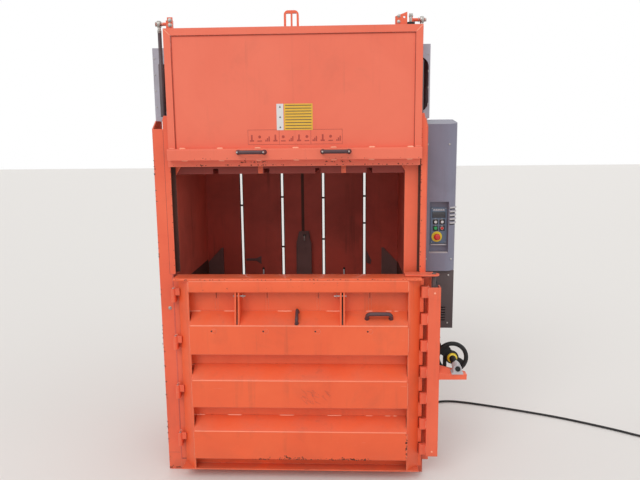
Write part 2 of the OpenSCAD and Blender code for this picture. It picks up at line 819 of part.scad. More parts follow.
// Pairs of plates that hold the strap ends on the door
module strap_guides() {
    guide_d = 50;
    at_front() color(orange) for (x = [slot_xs[0] + strap_pitch / 2, slot_xs[2] + strap_pitch / 2],
        side = [-1, 1])
        along_x([x + side * 12 - 3, x + side * 12 + 3]) polygon([[-skin_y,
            rib_z + 2 * rib_pitch + rib_h + rib_slope_h + 2],
            [-skin_y, rail_under - rail_face_h + 5], [-skin_y - guide_d, rail_under - rail_face_h + 5],
            [-skin_y - guide_d, rail_under - 150], [-skin_y - 12,
                rib_z + 2 * rib_pitch + rib_h + rib_slope_h + 2]]);
}

// Places a piece on the slope of the upper door rib, with Z away from the slope and Y up along it
module on_slope(x) {
    top = rib_z + 2 * rib_pitch + rib_h;
    translate([x, -(door_d + skin_y) / 2, top + rib_slope_h / 2]) rotate([atan2(rib_slope_h,
        door_d - skin_y), 0, 0])
        children();
}

module cleat() {
    at_front() color(black) on_slope(31) {
        translate([-7, -9, 0]) cube([14, 18, 18]);
        along_x([-7, 7]) polygon([[-26, 18], [26, 18], [34, 24], [30, 30], [0, 26], [-30, 30], [-34,
            24]]);
    }
}

// A bow handle seen from above: a rounded bar between two feet
module bow_profile(length, reach, bar) {
    difference() {
        union() {
            translate([-length / 2 + reach / 2, 0]) square([length - reach, reach]);
            for (side = [-1, 1]) translate([side * (length / 2 - reach / 2),
                reach / 2]) circle(reach / 2);
            for (side = [-1, 1]) translate([side * (length / 2 - reach / 4) - reach / 4,
                0]) square([reach / 2, reach / 2]);
        }
        translate([-length / 2 + bar + 6, -1]) square([length - 2 * bar - 12, reach - bar + 1]);
    }
}

module door_handle() {
    at_front() color(black) on_slope(half_w - 165) rotate([90, 0, 0]) linear_extrude(22, center = true)
        bow_profile(137, 40, 12);
}

// Claw lock

module lock_bearing_plate() {
    z = [door_top + 2, door_top + 10];
    at_front() color(orange) difference() {
        union() {
            block([half_w - 38, lock_rod_x], [lock_rod_y - 25, 0], z);
            rod_z(50, lock_rod_x, lock_rod_y, z);
            block([lock_rod_x - 30, lock_rod_x], [lock_rod_y, 0], z);
        }
        rod_z(lock_rod_d + fit, lock_rod_x, lock_rod_y, [z[0] - 1, z[1] + 1]);
    }
}

module lock_rod() {
    foot_z = [34, 46];
    at_front() color(steel) {
        rod_z(lock_rod_d, lock_rod_x, lock_rod_y, [foot_z[1], door_top + 14]);
        block([column_x - 6, lock_rod_x + 20], [lock_rod_y - 20, 0], foot_z);
    }
}

// The lock bar: a channel open to the back, with two sliding blocks on the fixed rod
module lock_bar() {
    t = 6;
    at_front() color(orange) difference() {
        block(lock_x, lock_y, lock_z);
        for (z = [[lock_z[0] - 1, lock_z[0] + 60], [lock_z[0] + 110, lock_z[1] - 110], [lock_z[1] - 60,
            lock_z[1] + 1]])
            block([lock_x[0] + t, lock_x[1] - t], [lock_y[0] + t, lock_y[1] + 1], z);
        rod_z(lock_rod_d + 2 * fit, lock_rod_x, lock_rod_y, [lock_z[0] - 1, lock_z[1] + 1]);
    }
}

// The claws, hooked blocks that reach over the door's teeth
module lock_claws() {
    y = [teeth_y[0] - claw_slack - 20, teeth_y[0] - claw_slack];
    at_front() color(orange) for (i = [0:claw_count - 1]) along_z([0, claw_h] + [1,
        1] * (claw_z + i * claw_pitch)) {
        translate([claw_x[0] + 8, y[0]]) square([claw_x[1] - claw_x[0] - 8, y[1] - y[0]]);
        translate([claw_x[0], y[0] + 8]) square([8, y[1] - y[0] - 8]);
        translate([claw_x[0] + 8, y[0] + 8]) circle(8);
    }
}

// The bracket: a sloping web, wide at the bar, with a folded flange along its lower edge
module wheel_bracket() {
    root = [lock_x[1], lock_x[1] + 2];
    tip_x = [wheel_x + 26, wheel_x + bracket_reach];
    seat = shaft_d / 2 + 17;
    at_front() color(orange) difference() {
        union() {
            hull() {
                block(root, [lock_y[1] - 12, lock_y[1] - 6], [bracket_z[1] - 6, bracket_z[1]]);
                block(root, [lock_y[0] - 3, lock_y[0] + 3], [bracket_z[0] + 24, bracket_z[0] + 30]);
                block(tip_x, bearing_y, [bearing_z - 6, bearing_z]);
            }
            hull() {
                block(root, [lock_y[0] - 3, lock_y[0] + 3], [bracket_z[0], bracket_z[0] + 28]);
                block(tip_x + [8, -1], [bearing_y[0], bearing_y[0] + 6], [bearing_z - 26, bearing_z - 1]);
            }
        }
        block([wheel_x - seat, wheel_x + seat], [bearing_y[0] - 1, bearing_y[1] + 1], [bearing_z, wheel_z]);
    }
}

// The block on the bracket's tip that carries the shaft
module bearing_block() {
    half = shaft_d / 2 + 8;
    at_front() color(grey) difference() {
        along_y(bearing_y) {
            translate([wheel_x - half, bearing_z]) square([2 * half, wheel_z - bearing_z]);
            translate([wheel_x, wheel_z]) circle(half);
            translate([wheel_x - half - 8, bearing_z]) square([2 * half + 16, 8]);
        }
        rod_y(shaft_d + 2 * fit, wheel_x, [bearing_y[0] - 1, bearing_y[1] + 1], wheel_z);
    }
}

// The handwheel: a round rim, a hub and two fan-shaped spokes
module handwheel() {
    mid = (wheel_y[0] + wheel_y[1]) / 2;
    at_front() color(black) translate([wheel_x, mid, wheel_z]) rotate([90, 0, 0]) difference() {
        union() {
            rotate_extrude() translate([wheel_r - rim_d / 2, 0]) circle(d = rim_d);
            translate([0, 0, -9]) cylinder(r = 34, h = 18);
            translate([0, 0, -4]) linear_extrude(8) for (a = spoke_turns) rotate(a)
                polygon([[20, -20], [wheel_r - rim_d / 2, -34], [wheel_r - rim_d / 2, 34], [20, 20]]);
        }
        translate([0, 0, -20]) cylinder(d = shaft_d + fit, h = 40);
    }
}

module wheel_cap() {
    at_front() color("gold") translate([wheel_x, wheel_y[0] - 3, wheel_z]) rotate([90, 0, 0])
        difference() {
            cylinder(d1 = 52, d2 = 44, h = 8);
            translate([0, 0, -1]) cylinder(d = shaft_d + fit, h = 10);
        }
}

function involute(r, t) = [r * (cos(t) + t * PI / 180 * sin(t)), r * (sin(t) - t * PI / 180 * cos(t))];
function turned(p, a) = [p[0] * cos(a) - p[1] * sin(a), p[0] * sin(a) + p[1] * cos(a)];

// One pinion tooth along the X axis, with involute flanks
function tooth_points(slack) =
    let (base_r = pitch_r * cos(20), tip_r = pitch_r + gear_m,
        tip_t = 180 / PI * sqrt(pow(tip_r / base_r, 2) - 1),
        half = 90 / gear_n - slack / pitch_r * 90 / PI + 0.8539,
        low = [for (i = [0:5]) turned(involute(base_r, tip_t * i / 5), -half)],
        high = [for (i = [5:-1:0]) let (p = involute(base_r, tip_t * i / 5)) turned([p[0], -p[1]], half)])
    concat([turned([pitch_r - 1.25 * gear_m - 1, 0], -half)], low, high,
        [turned([pitch_r - 1.25 * gear_m - 1, 0], half)]);

module pinion_shaft() {
    at_front() color(dark_grey) translate([wheel_x, 0, wheel_z]) rotate([90, 0, 0]) {
        translate([0, 0, -shaft_y[1]]) cylinder(d = shaft_d, h = shaft_y[1] - shaft_y[0]);
        translate([0, 0, -wheel_y[0] + 11]) cylinder(d = sleeve_d, h = wheel_y[0] - 12 - bearing_y[1]);
        translate([0, 0, -gear_y[1]]) linear_extrude(gear_y[1] - gear_y[0]) {
            circle(pitch_r - 1.25 * gear_m);
            for (i = [0:gear_n - 1]) rotate(180 + (i + 0.5) * 360 / gear_n)
                polygon(tooth_points(tooth_slack));
        }
    }
}

// The fixed rack that the pinion climbs, on a bent plate from the column
module lock_rack() {
    pitch = PI * gear_m;
    line = wheel_x - pitch_r;
    root = line - 1.25 * gear_m;
    foot = pitch / 4 + 1.25 * gear_m * tan(20) - tooth_slack / 2;
    tip = pitch / 4 - gear_m * tan(20) - tooth_slack / 2;
    low = wheel_z - claw_drop - 4 * pitch;
    high = wheel_z + 4 * pitch;
    teeth = [ceil((low - wheel_z) / pitch + 0.5):floor((high - wheel_z) / pitch - 0.5)];
    plate_x = lock_x[1] + 13;
    at_front() color(black) {
        along_y(gear_y) {
            translate([root - 12, low]) square([12, high - low]);
            for (i = teeth) translate([0, wheel_z + i * pitch])
                polygon([[root - 1, -foot], [line + gear_m, -tip], [line + gear_m, tip], [root - 1,
                    foot]]);
        }
        along_y([gear_y[0] + 6, gear_y[1] - 6]) polygon([[column_x, high - 40], [root - 12, high - 24],
            [root - 12, high], [plate_x + 15, high + 38], [plate_x + 8, high + 60], [plate_x + 15,
                high + 66],
            [plate_x + 4, high + 102], [plate_x - 4, high + 102], [column_x, high + 40]]);
    }
}

// Gate

module gate_panel() {
    at_front() color(orange)
        block([gate_x[0] + border_w, gate_x[1] - border_w], [-22, -18], [ledge_z, gate_top - border_w]);
}

module gate_frame() {
    at_front() color(orange) difference() {
        block(gate_x, [-gate_d, 0], [ledge_z, gate_top]);
        block([gate_x[0] + border_w, gate_x[1] - border_w], [-gate_d - 1, 1], [ledge_z - 1,
            gate_top - border_w]);
        block([gate_x[0] + 5, gate_x[1] - 5], [-gate_d + 5, 1], [ledge_z - 1, gate_top - 5]);
    }
}

module gate_bottom_bar() {
    low = ledge_z - 55;
    at_front() color(orange) {
        along_x(gate_x) difference() {
            polygon([[0, low], [-gate_bar_d, low], [-gate_bar_d, ledge_z - 6], [-gate_bar_d + 6,
                ledge_z], [0, ledge_z]]);
            translate([-gate_bar_d + 5, low + 5]) square([gate_bar_d - 10, 45]);
        }
        block([gate_x[0] - 10, gate_x[1] - 3], [-14, -8], [low - 32, low]);
    }
}

module gate_handles() {
    at_front() color(black) for (side = [-1, 1]) translate([gate_mid + side * 202, -gate_bar_d,
        ledge_z - 26])
        mirror([0, 1, 0]) linear_extrude(16) bow_profile(141, 36, 12);
}

// The runners behind the guide strips: a web through the gap and a flange in the groove
module gate_runners() {
    z = [ledge_z - 50, guide_top - 12];
    flange_y = [guide_y + 6, strip_y - 8];
    at_front() color(steel) {
        block([gate_x[0], gate_x[0] + 6], [0, flange_y[1]], z);
        block([gate_x[0] - 18, gate_x[0]], flange_y, z);
        block([gate_x[1] - 6, gate_x[1]], [0, flange_y[1]], z);
        block([gate_x[1], gate_x[1] + 16], flange_y, z);
    }
}

// The plates on the gate's top edge and the arms that carry the balance struts
module gate_brackets() {
    arm_x = [gate_x[0] + 13, gate_x[1] - 55];
    at_front() color(orange) {
        difference() {
            block([gate_x[0] + 19, gate_x[0] + 44], [-16, -8], [gate_top, gate_top + 52]);
            for (z = [16, 38]) rod_y(8, gate_x[0] + 32, [-20, 0], gate_top + z);
        }
        difference() {
            along_y([-16, -8]) polygon([[gate_x[1] - 130, gate_top], [gate_x[1] - 74, gate_top],
                [gate_x[1] - 74, gate_top + 58], [gate_x[1] - 130, gate_top + 38]]);
            rod_y(10, gate_x[1] - 88, [-20, 0], gate_top + 35);
        }
        difference() {
            along_y([-20, -4]) {
                translate([-13, gate_top]) square([70, 53]);
                translate([7, gate_top + 53]) circle(20);
                translate([37, gate_top + 53]) circle(20);
                translate([7, gate_top + 40]) square([30, 33]);
            }
            block([-3, 19], [-21, -3], [gate_top - 1, gate_top + 60]);
            block([27, 47], [-21, -3], [gate_top - 1, gate_top + 60]);
        }
        for (i = [0, 1]) {
            along_x([arm_x[i], arm_x[i] + 6]) polygon([[-16, gate_top], [0, gate_top], [strut_y + 18,
                eye_z - 18],
                [strut_y + 18, eye_z + 18], [strut_y - 18, eye_z + 18], [-16, eye_z]]);
        }
        rod_x(16, [strut_x[0] - 16, arm_x[0]], strut_y, eye_z);
        rod_x(16, [arm_x[1] + 6, strut_x[1] + 16], strut_y, eye_z);
    }
}

// Mains cable

function cable_dir(i) =
    let (a = cable_route[max(i - 1, 0)], b = cable_route[min(i + 1,
        len(cable_route) - 1)]) (b - a) / norm(b - a);
function cross_unit(v) = v / norm(v);

// A round tube swept along the route, with one ring of corners at each point
module swept_tube(route, d, sides) {
    rings = [for (i = [0:len(route) - 1]) let (t = cable_dir(i), u = cross_unit(cross(t, [0.9, -0.3,
        0.05])), v = cross(t, u))
        [for (k = [0:sides - 1]) route[i] + (u * cos(k * 360 / sides) + v * sin(k * 360 / sides)) * d /
            2]];
    last = len(route) - 1;
    points = [for (ring = rings) each ring];
    walls = [for (i = [0:last - 1], k = [0:sides - 1]) let (n = (k + 1) % sides)
        [i * sides + k, i * sides + n, (i + 1) * sides + n, (i + 1) * sides + k]];
    ends = [[for (k = [sides - 1:-1:0]) k], [for (k = [0:sides - 1]) last * sides + k]];
    polyhedron(points, concat(walls, ends));
}

module mains_cable() {
    at_front() color(black) swept_tube(cable_route, cable_d, 8);
}

module mains_coil() {
    at_front() color(black) translate([coil_at[0], coil_at[1], 0.5]) rotate_extrude()
        translate([coil_mid_r - cable_d / 2 - 1, 0]) square([cable_d + 2,
            coil_turn_layers * cable_d + 2]);
}

module mains_plug() {
    at_front() color("red") translate([coil_at[0] + coil_mid_r, coil_at[1] + 45, 30.5]) rotate([-90, 0, 0])
        rotate_extrude() polygon([[0, 0], [10, 0], [11, 30], [22, 34], [27, 70], [30, 76], [30, 114], [26, 114],
            [26, 140], [0, 140]]);
}

module cable_gland() {
    at_front() color(black) translate([gland_at[0], gland_at[1], gland_at[2] - 32])
        rotate_extrude() polygon([[0, 0], [cable_d / 2 + 3, 0], [cable_d / 2 + 6, 14],
            [cable_d / 2 + 9, 14],
            [cable_d / 2 + 9, 32], [0, 32]]);
}

base_frame();
floor_plate();
back_wall();
back_stiffeners();
side_wall_left();
side_wall_right();
column_left();
column_right();
gate_tracks();
crown_frame();
hood();
cylinder_barrels();
cylinder_stages();
piston_rods();
press_plate();
press_guides();
control_cabinet();
control_panel();
power_cabinet();
power_unit();
strut_rods();
strut_tubes();
hinge_lugs();
hinge_pins();
door_knuckles();
door_skin();
door_top_rail();
door_ribs();
door_posts();
door_teeth();
strap_guides();
cleat();
door_handle();
lock_bearing_plate();
lock_rod();
lock_rack();
lock_bar();
lock_claws();
wheel_bracket();
bearing_block();
handwheel();
wheel_cap();
pinion_shaft();
gate_panel();
gate_frame();
gate_bottom_bar();
gate_handles();
gate_runners();
gate_brackets();
ejector_frame();
shackle();
emergency_stop();
button_start();
button_stop();
button_up();
button_down();
mains_cable();
mains_coil();
mains_plug();
cable_gland();
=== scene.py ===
"""Dresses a vertical recycling baler: finishes, small parts, mains lead, camera and light."""

import json
import logging
import math
import random
from dataclasses import dataclass
from enum import Enum

import bmesh
import bpy
from mathutils import Matrix, Vector


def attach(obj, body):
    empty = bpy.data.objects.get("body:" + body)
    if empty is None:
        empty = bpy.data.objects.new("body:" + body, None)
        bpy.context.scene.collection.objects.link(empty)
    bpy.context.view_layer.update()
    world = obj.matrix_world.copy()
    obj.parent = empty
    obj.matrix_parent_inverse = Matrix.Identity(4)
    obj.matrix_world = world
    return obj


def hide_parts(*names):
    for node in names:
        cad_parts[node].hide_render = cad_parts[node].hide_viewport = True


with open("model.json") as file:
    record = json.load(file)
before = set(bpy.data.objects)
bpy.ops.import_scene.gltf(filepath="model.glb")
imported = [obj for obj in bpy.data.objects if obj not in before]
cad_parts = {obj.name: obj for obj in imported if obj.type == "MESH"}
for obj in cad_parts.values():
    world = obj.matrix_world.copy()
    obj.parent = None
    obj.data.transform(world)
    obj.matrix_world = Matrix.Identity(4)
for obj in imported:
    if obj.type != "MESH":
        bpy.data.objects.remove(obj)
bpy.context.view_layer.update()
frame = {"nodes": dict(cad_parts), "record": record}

logging.basicConfig(level=logging.INFO, format="%(message)s")
log = logging.getLogger("baler")

# The drawing's millimetres, with y 0 at the columns' front face, to the part's metres.
FRONT_Y = -0.428
MM = 0.001
TO_PART = Matrix.Translation((0, FRONT_Y, 0)) @ Matrix.Scale(MM, 4)

Point = tuple[float, float, float]
Span = tuple[float, float]
Rgb = tuple[int, int, int]

FORWARD, SIDEWARD, UPWARD = Vector((0, -1, 0)), Vector((1, 0, 0)), Vector((0, 0, 1))


class Body(Enum):
    """The moving bodies that pieces ride on."""

    FRAME = "frame"
    PRESS = "press"
    GATE = "gate"
    DOOR = "door"
    LOCK = "lock"
    WHEEL = "wheel"
    EJECTOR = "ejector"
    STOP = "stop_button"
    START_KEY = "start_key"
    HALT_KEY = "halt_key"
    UP_KEY = "up_key"
    DOWN_KEY = "down_key"


class Axis(Enum):
    """Directions that turned pieces point along."""

    X = (1.0, 0.0, 0.0)
    Y = (0.0, 1.0, 0.0)
    Z = (0.0, 0.0, 1.0)
    FRONT = (0.0, -1.0, 0.0)


def linear(colour: Rgb) -> tuple[float, float, float, float]:
    """Turns a screen colour into the renderer's linear one.

    Args:
        colour: red, green and blue from 0 to 255.

    Returns:
        The linear colour with an alpha of 1.
    """
    parts = [c / 255 for c in colour]
    low, gain, power = 0.04045, 1.055, 2.4
    flat = [p / 12.92 if p <= low else ((p + 0.055) / gain) ** power for p in parts]
    return (*flat, 1.0)


class Graph:
    """Adds nodes to one node tree and joins them."""

    def __init__(self, tree: bpy.types.NodeTree) -> None:
        """Keeps the tree.

        Args:
            tree: the tree that the nodes go into.
        """
        self.tree = tree

    def node(self, kind: str, inputs: dict | None = None, **settings: object) -> bpy.types.Node:
        """Adds a node.

        Args:
            kind: the node's type name.
            inputs: socket name or number to a value or to another node's output.
            settings: attributes of the node itself.

        Returns:
            The node.
        """
        made = self.tree.nodes.new(kind)
        for key, value in settings.items():
            setattr(made, key, value)
        for key, value in (inputs or {}).items():
            self.feed(made.inputs[key], value)
        return made

    def feed(self, socket: bpy.types.NodeSocket, value: object) -> None:
        """Links an output to a socket, or sets the socket's own value.

        Args:
            socket: the input that is fed.
            value: an output socket, or a plain value.
        """
        if isinstance(value, bpy.types.NodeSocket):
            self.tree.links.new(value, socket)
        else:
            socket.default_value = value

    def sum(self, kind: str, first: object, second: object = 0.0,
            clamp: bool = False) -> bpy.types.NodeSocket:
        """Does one sum on two values.

        Args:
            kind: the operation, such as MULTIPLY.
            first: a value or an output.
            second: a value or an output.
            clamp: whether the result is held between 0 and 1.

        Returns:
            The result's socket.
        """
        return self.node("ShaderNodeMath", {0: first, 1: second}, operation=kind, use_clamp=clamp).outputs[0]

    def ramp(self, value: object, start: object, end: object, low: float = 0.0,
             high: float = 1.0) -> bpy.types.NodeSocket:
        """Maps a value smoothly from one range to another.

        Args:
            value: the value that is mapped.
            start: the value that gives low.
            end: the value that gives high.
            low: the least result.
            high: the greatest result.

        Returns:
            The mapped value's socket.
        """
        inputs = {"Value": value, "From Min": start, "From Max": end, "To Min": low, "To Max": high}
        return self.node("ShaderNodeMapRange", inputs, interpolation_type="SMOOTHSTEP").outputs["Result"]

    def noise(self, place: object, scale: object, detail: float = 4.0, rough: float = 0.55,
              twist: float = 0.0) -> bpy.types.NodeSocket:
        """Adds cloudy noise.

        Args:
            place: the vector that it is read at.
            scale: clouds per metre.
            detail: number of finer layers.
            rough: weight of the finer layers.
            twist: how far the clouds are stirred.

        Returns:
            The noise's value socket.
        """
        inputs = {"Vector": place, "Scale": scale, "Detail": detail, "Roughness": rough, "Distortion": twist}
        return self.node("ShaderNodeTexNoise", inputs).outputs[0]

    def stretch(self, place: object, scale: Point, turn: Point = (0, 0, 0)) -> bpy.types.NodeSocket:
        """Stretches and turns a vector.

        Args:
            place: the vector.
            scale: factor along each axis.
            turn: angles in radians about each axis.

        Returns:
            The stretched vector's socket.
        """
        return self.node("ShaderNodeMapping", {"Vector": place, "Scale": scale, "Rotation": turn}).outputs[0]

    def blend(self, factor: object, first: object, second: object) -> bpy.types.NodeSocket:
        """Mixes two colours.

        Args:
            factor: 0 for the first, 1 for the second.
            first: a colour or an output.
            second: a colour or an output.

        Returns:
            The mixed colour's socket.
        """
        mix = self.node("ShaderNodeMix", data_type="RGBA", clamp_factor=True)
        for socket, value in ((mix.inputs[0], factor), (mix.inputs[6], first), (mix.inputs[7], second)):
            self.feed(socket, value)
        return mix.outputs[2]


@dataclass(frozen=True)
class Effect:
    """A surface effect that several finishes share, as one node group."""

    name: str
    inputs: tuple[tuple[str, str, float], ...]
    outputs: tuple[tuple[str, str], ...]

    def start(self) -> tuple[Graph, bpy.types.Node, bpy.types.Node]:
        """Makes the empty group with its sockets.

        Returns:
            The graph, the group's input node and its output node.
        """
        tree = bpy.data.node_groups.new(self.name, "ShaderNodeTree")
        for name, kind, value in self.inputs:
            socket = tree.interface.new_socket(name, in_out="INPUT", socket_type=kind)
            if kind == "NodeSocketFloat":
                socket.default_value = value
        for name, kind in self.outputs:
            tree.interface.new_socket(name, in_out="OUTPUT", socket_type=kind)
        graph = Graph(tree)
        return graph, graph.node("NodeGroupInput"), graph.node("NodeGroupOutput")


FLOAT, VECTOR = "NodeSocketFloat", "NodeSocketVector"
DUST = (176, 160, 148)


class Effects:
    """Builds each shared effect once."""

    def __init__(self) -> None:
        """Builds the four groups."""
        self.edge = self.soft_edge()
        self.wear = self.paint_wear()
        self.grime = self.grime_layers()
        self.grain = self.fine_grain()

    def soft_edge(self) -> bpy.types.NodeTree:
        """Rounds the edges' shading and finds the edges.

        Returns:
            The node group.
        """
        effect = Effect("soft_edge", (("Radius", FLOAT, 0.002),), (("Normal", VECTOR), ("Edge", FLOAT)))
        g, given, out = effect.start()
        rounded = g.node("ShaderNodeBevel", {"Radius": given.outputs["Radius"]}, samples=6).outputs[0]
        flat = g.node("ShaderNodeNewGeometry").outputs["Normal"]
        dot = g.node("ShaderNodeVectorMath", {0: rounded, 1: flat}, operation="DOT_PRODUCT").outputs["Value"]
        g.feed(out.inputs["Normal"], rounded)
        g.feed(out.inputs["Edge"], g.ramp(g.sum("SUBTRACT", 1.0, dot), 0.01, 0.22))
        return g.tree

    def paint_wear(self) -> bpy.types.NodeTree:
        """Chips along the edges, stray chips, and long scratches.

        Returns:
            The node group.
        """
        inputs = (("Vector", VECTOR, 0), ("Edge", FLOAT, 0), ("Amount", FLOAT, 0.4))
        effect = Effect("paint_wear", inputs, (("Chips", FLOAT), ("Scratches", FLOAT)))
        g, given, out = effect.start()
        place, edge, amount = (given.outputs[n] for n in ("Vector", "Edge", "Amount"))
        lumps = g.noise(place, 38.0, 6.0, 0.68)
        drift = g.noise(place, 3.1, 2.0, 0.5)
        height = g.node("ShaderNodeSeparateXYZ", {0: place}).outputs["Z"]
        near_floor = g.sum("MULTIPLY", g.ramp(height, 0.25, 0.04), 0.06)
        # A chip shows where edge and lumps together pass a bar, which is lower near the floor.
        level = g.sum("ADD", g.sum("MULTIPLY", edge, 0.24),
                      g.sum("MULTIPLY", lumps, g.ramp(drift, 0.3, 0.7, 0.8, 1.06)))
        bar = g.sum("SUBTRACT", g.sum("SUBTRACT", 0.92, near_floor), g.sum("MULTIPLY", amount, 0.2))
        chips = g.ramp(level, bar, g.sum("ADD", bar, 0.035))
        long_a = g.noise(g.stretch(place, (3.0, 60.0, 60.0), (0.3, 0.15, 0.4)), 4.0, 3.0, 0.6)
        long_b = g.noise(g.stretch(place, (70.0, 70.0, 2.5), (0.1, 0.12, 0.0)), 4.0, 3.0, 0.6)
        lines = g.sum("MAXIMUM", g.ramp(long_a, 0.70, 0.76), g.ramp(long_b, 0.71, 0.77))
        g.feed(out.inputs["Chips"], chips)
        g.feed(out.inputs["Scratches"],
               g.sum("MULTIPLY", lines, g.sum("MULTIPLY", amount, g.ramp(drift, 0.42, 0.62))))
        return g.tree

    def grime_layers(self) -> bpy.types.NodeTree:
        """Dirt that runs down and gathers near the floor, and dust on what faces up.

        Returns:
            The node group.
        """
        inputs = (("Vector", VECTOR, 0), ("Low", FLOAT, 0.3), ("Amount", FLOAT, 0.4))
        effect = Effect("grime", inputs, (("Dirt", FLOAT), ("Dust", FLOAT)))
        g, given, out = effect.start()
        place, low, amount = (given.outputs[n] for n in ("Vector", "Low", "Amount"))
        height = g.node("ShaderNodeSeparateXYZ", {0: place}).outputs["Z"]
        patches = g.noise(place, 5.5, 5.0, 0.62, 0.4)
        runs = g.noise(g.stretch(place, (26.0, 26.0, 1.3)), 1.0, 3.0, 0.6)
        near_floor = g.sum("MULTIPLY", g.ramp(height, low, 0.0), g.ramp(patches, 0.3, 0.62))
        streaks = g.sum("MULTIPLY", g.ramp(runs, 0.52, 0.74), g.ramp(patches, 0.35, 0.7))
        cloudy = g.sum("MULTIPLY", g.ramp(patches, 0.5, 0.78), 0.6)
        dirt = g.sum("MAXIMUM", g.sum("MAXIMUM", near_floor, streaks), cloudy)
        up = g.node("ShaderNodeSeparateXYZ",
                    {0: g.node("ShaderNodeNewGeometry").outputs["Normal"]}).outputs["Z"]
        dust = g.sum("MULTIPLY", g.ramp(up, 0.55, 0.95), g.ramp(patches, 0.25, 0.7))
        g.feed(out.inputs["Dirt"], g.sum("MULTIPLY", dirt, amount, True))
        g.feed(out.inputs["Dust"], g.sum("MULTIPLY", dust, amount, True))
        return g.tree

    def fine_grain(self) -> bpy.types.NodeTree:
        """The paint's orange peel, and slow shifts of shade.

        Returns:
            The node group.
        """
        effect = Effect("fine_grain", (("Vector", VECTOR, 0), ("Scale", FLOAT, 400)),
                        (("Height", FLOAT), ("Patch", FLOAT)))
        g, given, out = effect.start()
        place = given.outputs["Vector"]
        peel = g.noise(place, given.outputs["Scale"], 2.0, 0.5)
        waves = g.noise(place, 9.0, 2.0, 0.5)
        g.feed(out.inputs["Height"], g.sum("ADD", g.sum("MULTIPLY", peel, 0.5), waves))
        g.feed(out.inputs["Patch"], g.ramp(g.noise(place, 2.4, 4.0, 0.6, 0.6), 0.3, 0.7))
        return g.tree


@dataclass(frozen=True)
class Finish:
    """One finish: its colours and how it wears, as a procedural material."""

    name: str
    colour: Rgb
    shade: Rgb
    roughness: float = 0.45
    metallic: float = 0.0
    coat: float = 0.0
    edge: float = 2.0
    wear: float = 0.4
    worn: Rgb = (96, 78, 72)
    dirt: float = 0.4
    dirty: Rgb = (104, 66, 52)
    low: float = 0.28
    grain: float = 420.0
    bump: float = 0.12
    # How far the edges are painted towards white, a painted highlight on folds and corners.
    edge_highlight: float = 0.35
    brushed: bool = False

    def material(self, effects: Effects) -> bpy.types.Material:
        """Makes the finish's material, or finds the one that was made.

        Args:
            effects: the shared node groups.

        Returns:
            The material.
        """
        known = bpy.data.materials.get(self.name)
        if known:
            return known
        made = bpy.data.materials.new(self.name)
        made.use_nodes = True
        g = Graph(made.node_tree)
        shader = made.node_tree.nodes["Principled BSDF"]
        place = g.node("ShaderNodeTexCoord").outputs["Object"]
        edge = self.group(g, effects.edge, Radius=self.edge * MM)
        grain = self.group(g, effects.grain, Vector=place, Scale=self.grain)
        wear = self.group(g, effects.wear, Vector=place, Edge=edge.outputs["Edge"], Amount=self.wear)
        grime = self.group(g, effects.grime, Vector=place, Low=self.low, Amount=self.dirt)
        paint = g.blend(grain.outputs["Patch"], linear(self.colour), linear(self.shade))
        # The edges are painted towards white, a painted highlight on folds and corners; scratches take the
        # same light colour as real wear.
        bright = tuple(min(255, int(c + (255 - c) * self.edge_highlight)) for c in self.colour)
        paint = g.blend(g.sum("MULTIPLY", edge.outputs["Edge"], 0.55), paint, linear(bright))
        paint = g.blend(grime.outputs["Dirt"], paint, linear(self.dirty))
        paint = g.blend(g.sum("MULTIPLY", grime.outputs["Dust"], 0.5), paint, linear(DUST))
        paint = g.blend(g.sum("MULTIPLY", wear.outputs["Scratches"], 0.6), paint, linear(bright))
        paint = g.blend(wear.outputs["Chips"], paint, linear(self.worn))
        g.feed(shader.inputs["Base Color"], paint)
        rough = g.sum("ADD", self.roughness, g.sum("MULTIPLY", grime.outputs["Dirt"], 0.25))
        rough = g.sum("ADD", rough, g.sum("MULTIPLY", grain.outputs["Patch"], 0.08), True)
        g.feed(shader.inputs["Roughness"], rough)
        shader.inputs["Metallic"].default_value = self.metallic
        shader.inputs["Coat Weight"].default_value = self.coat
        height = g.sum("SUBTRACT", grain.outputs["Height"], g.sum("MULTIPLY", wear.outputs["Chips"], 0.8))
        if self.brushed:
            lines = g.noise(g.stretch(place, (4.0, 4.0, 400.0)), 1.5, 2.0, 0.5)
            height = g.sum("ADD", height, g.sum("MULTIPLY", lines, 0.6))
        bump = g.node("ShaderNodeBump",
                      {"Strength": self.bump, "Distance": 0.002, "Height": height,
                       "Normal": edge.outputs["Normal"]})
        g.feed(shader.inputs["Normal"], bump.outputs[0])
        return made

    @staticmethod
    def group(g: Graph, tree: bpy.types.NodeTree, **inputs: object) -> bpy.types.Node:
        """Adds the group node and feeds its sockets.

        Args:
            g: the material's graph.
            tree: the group.
            inputs: socket name to value or output.

        Returns:
            The group's node.
        """
        made = g.node("ShaderNodeGroup")
        made.node_tree = tree
        for key, value in inputs.items():
            g.feed(made.inputs[key], value)
        return made


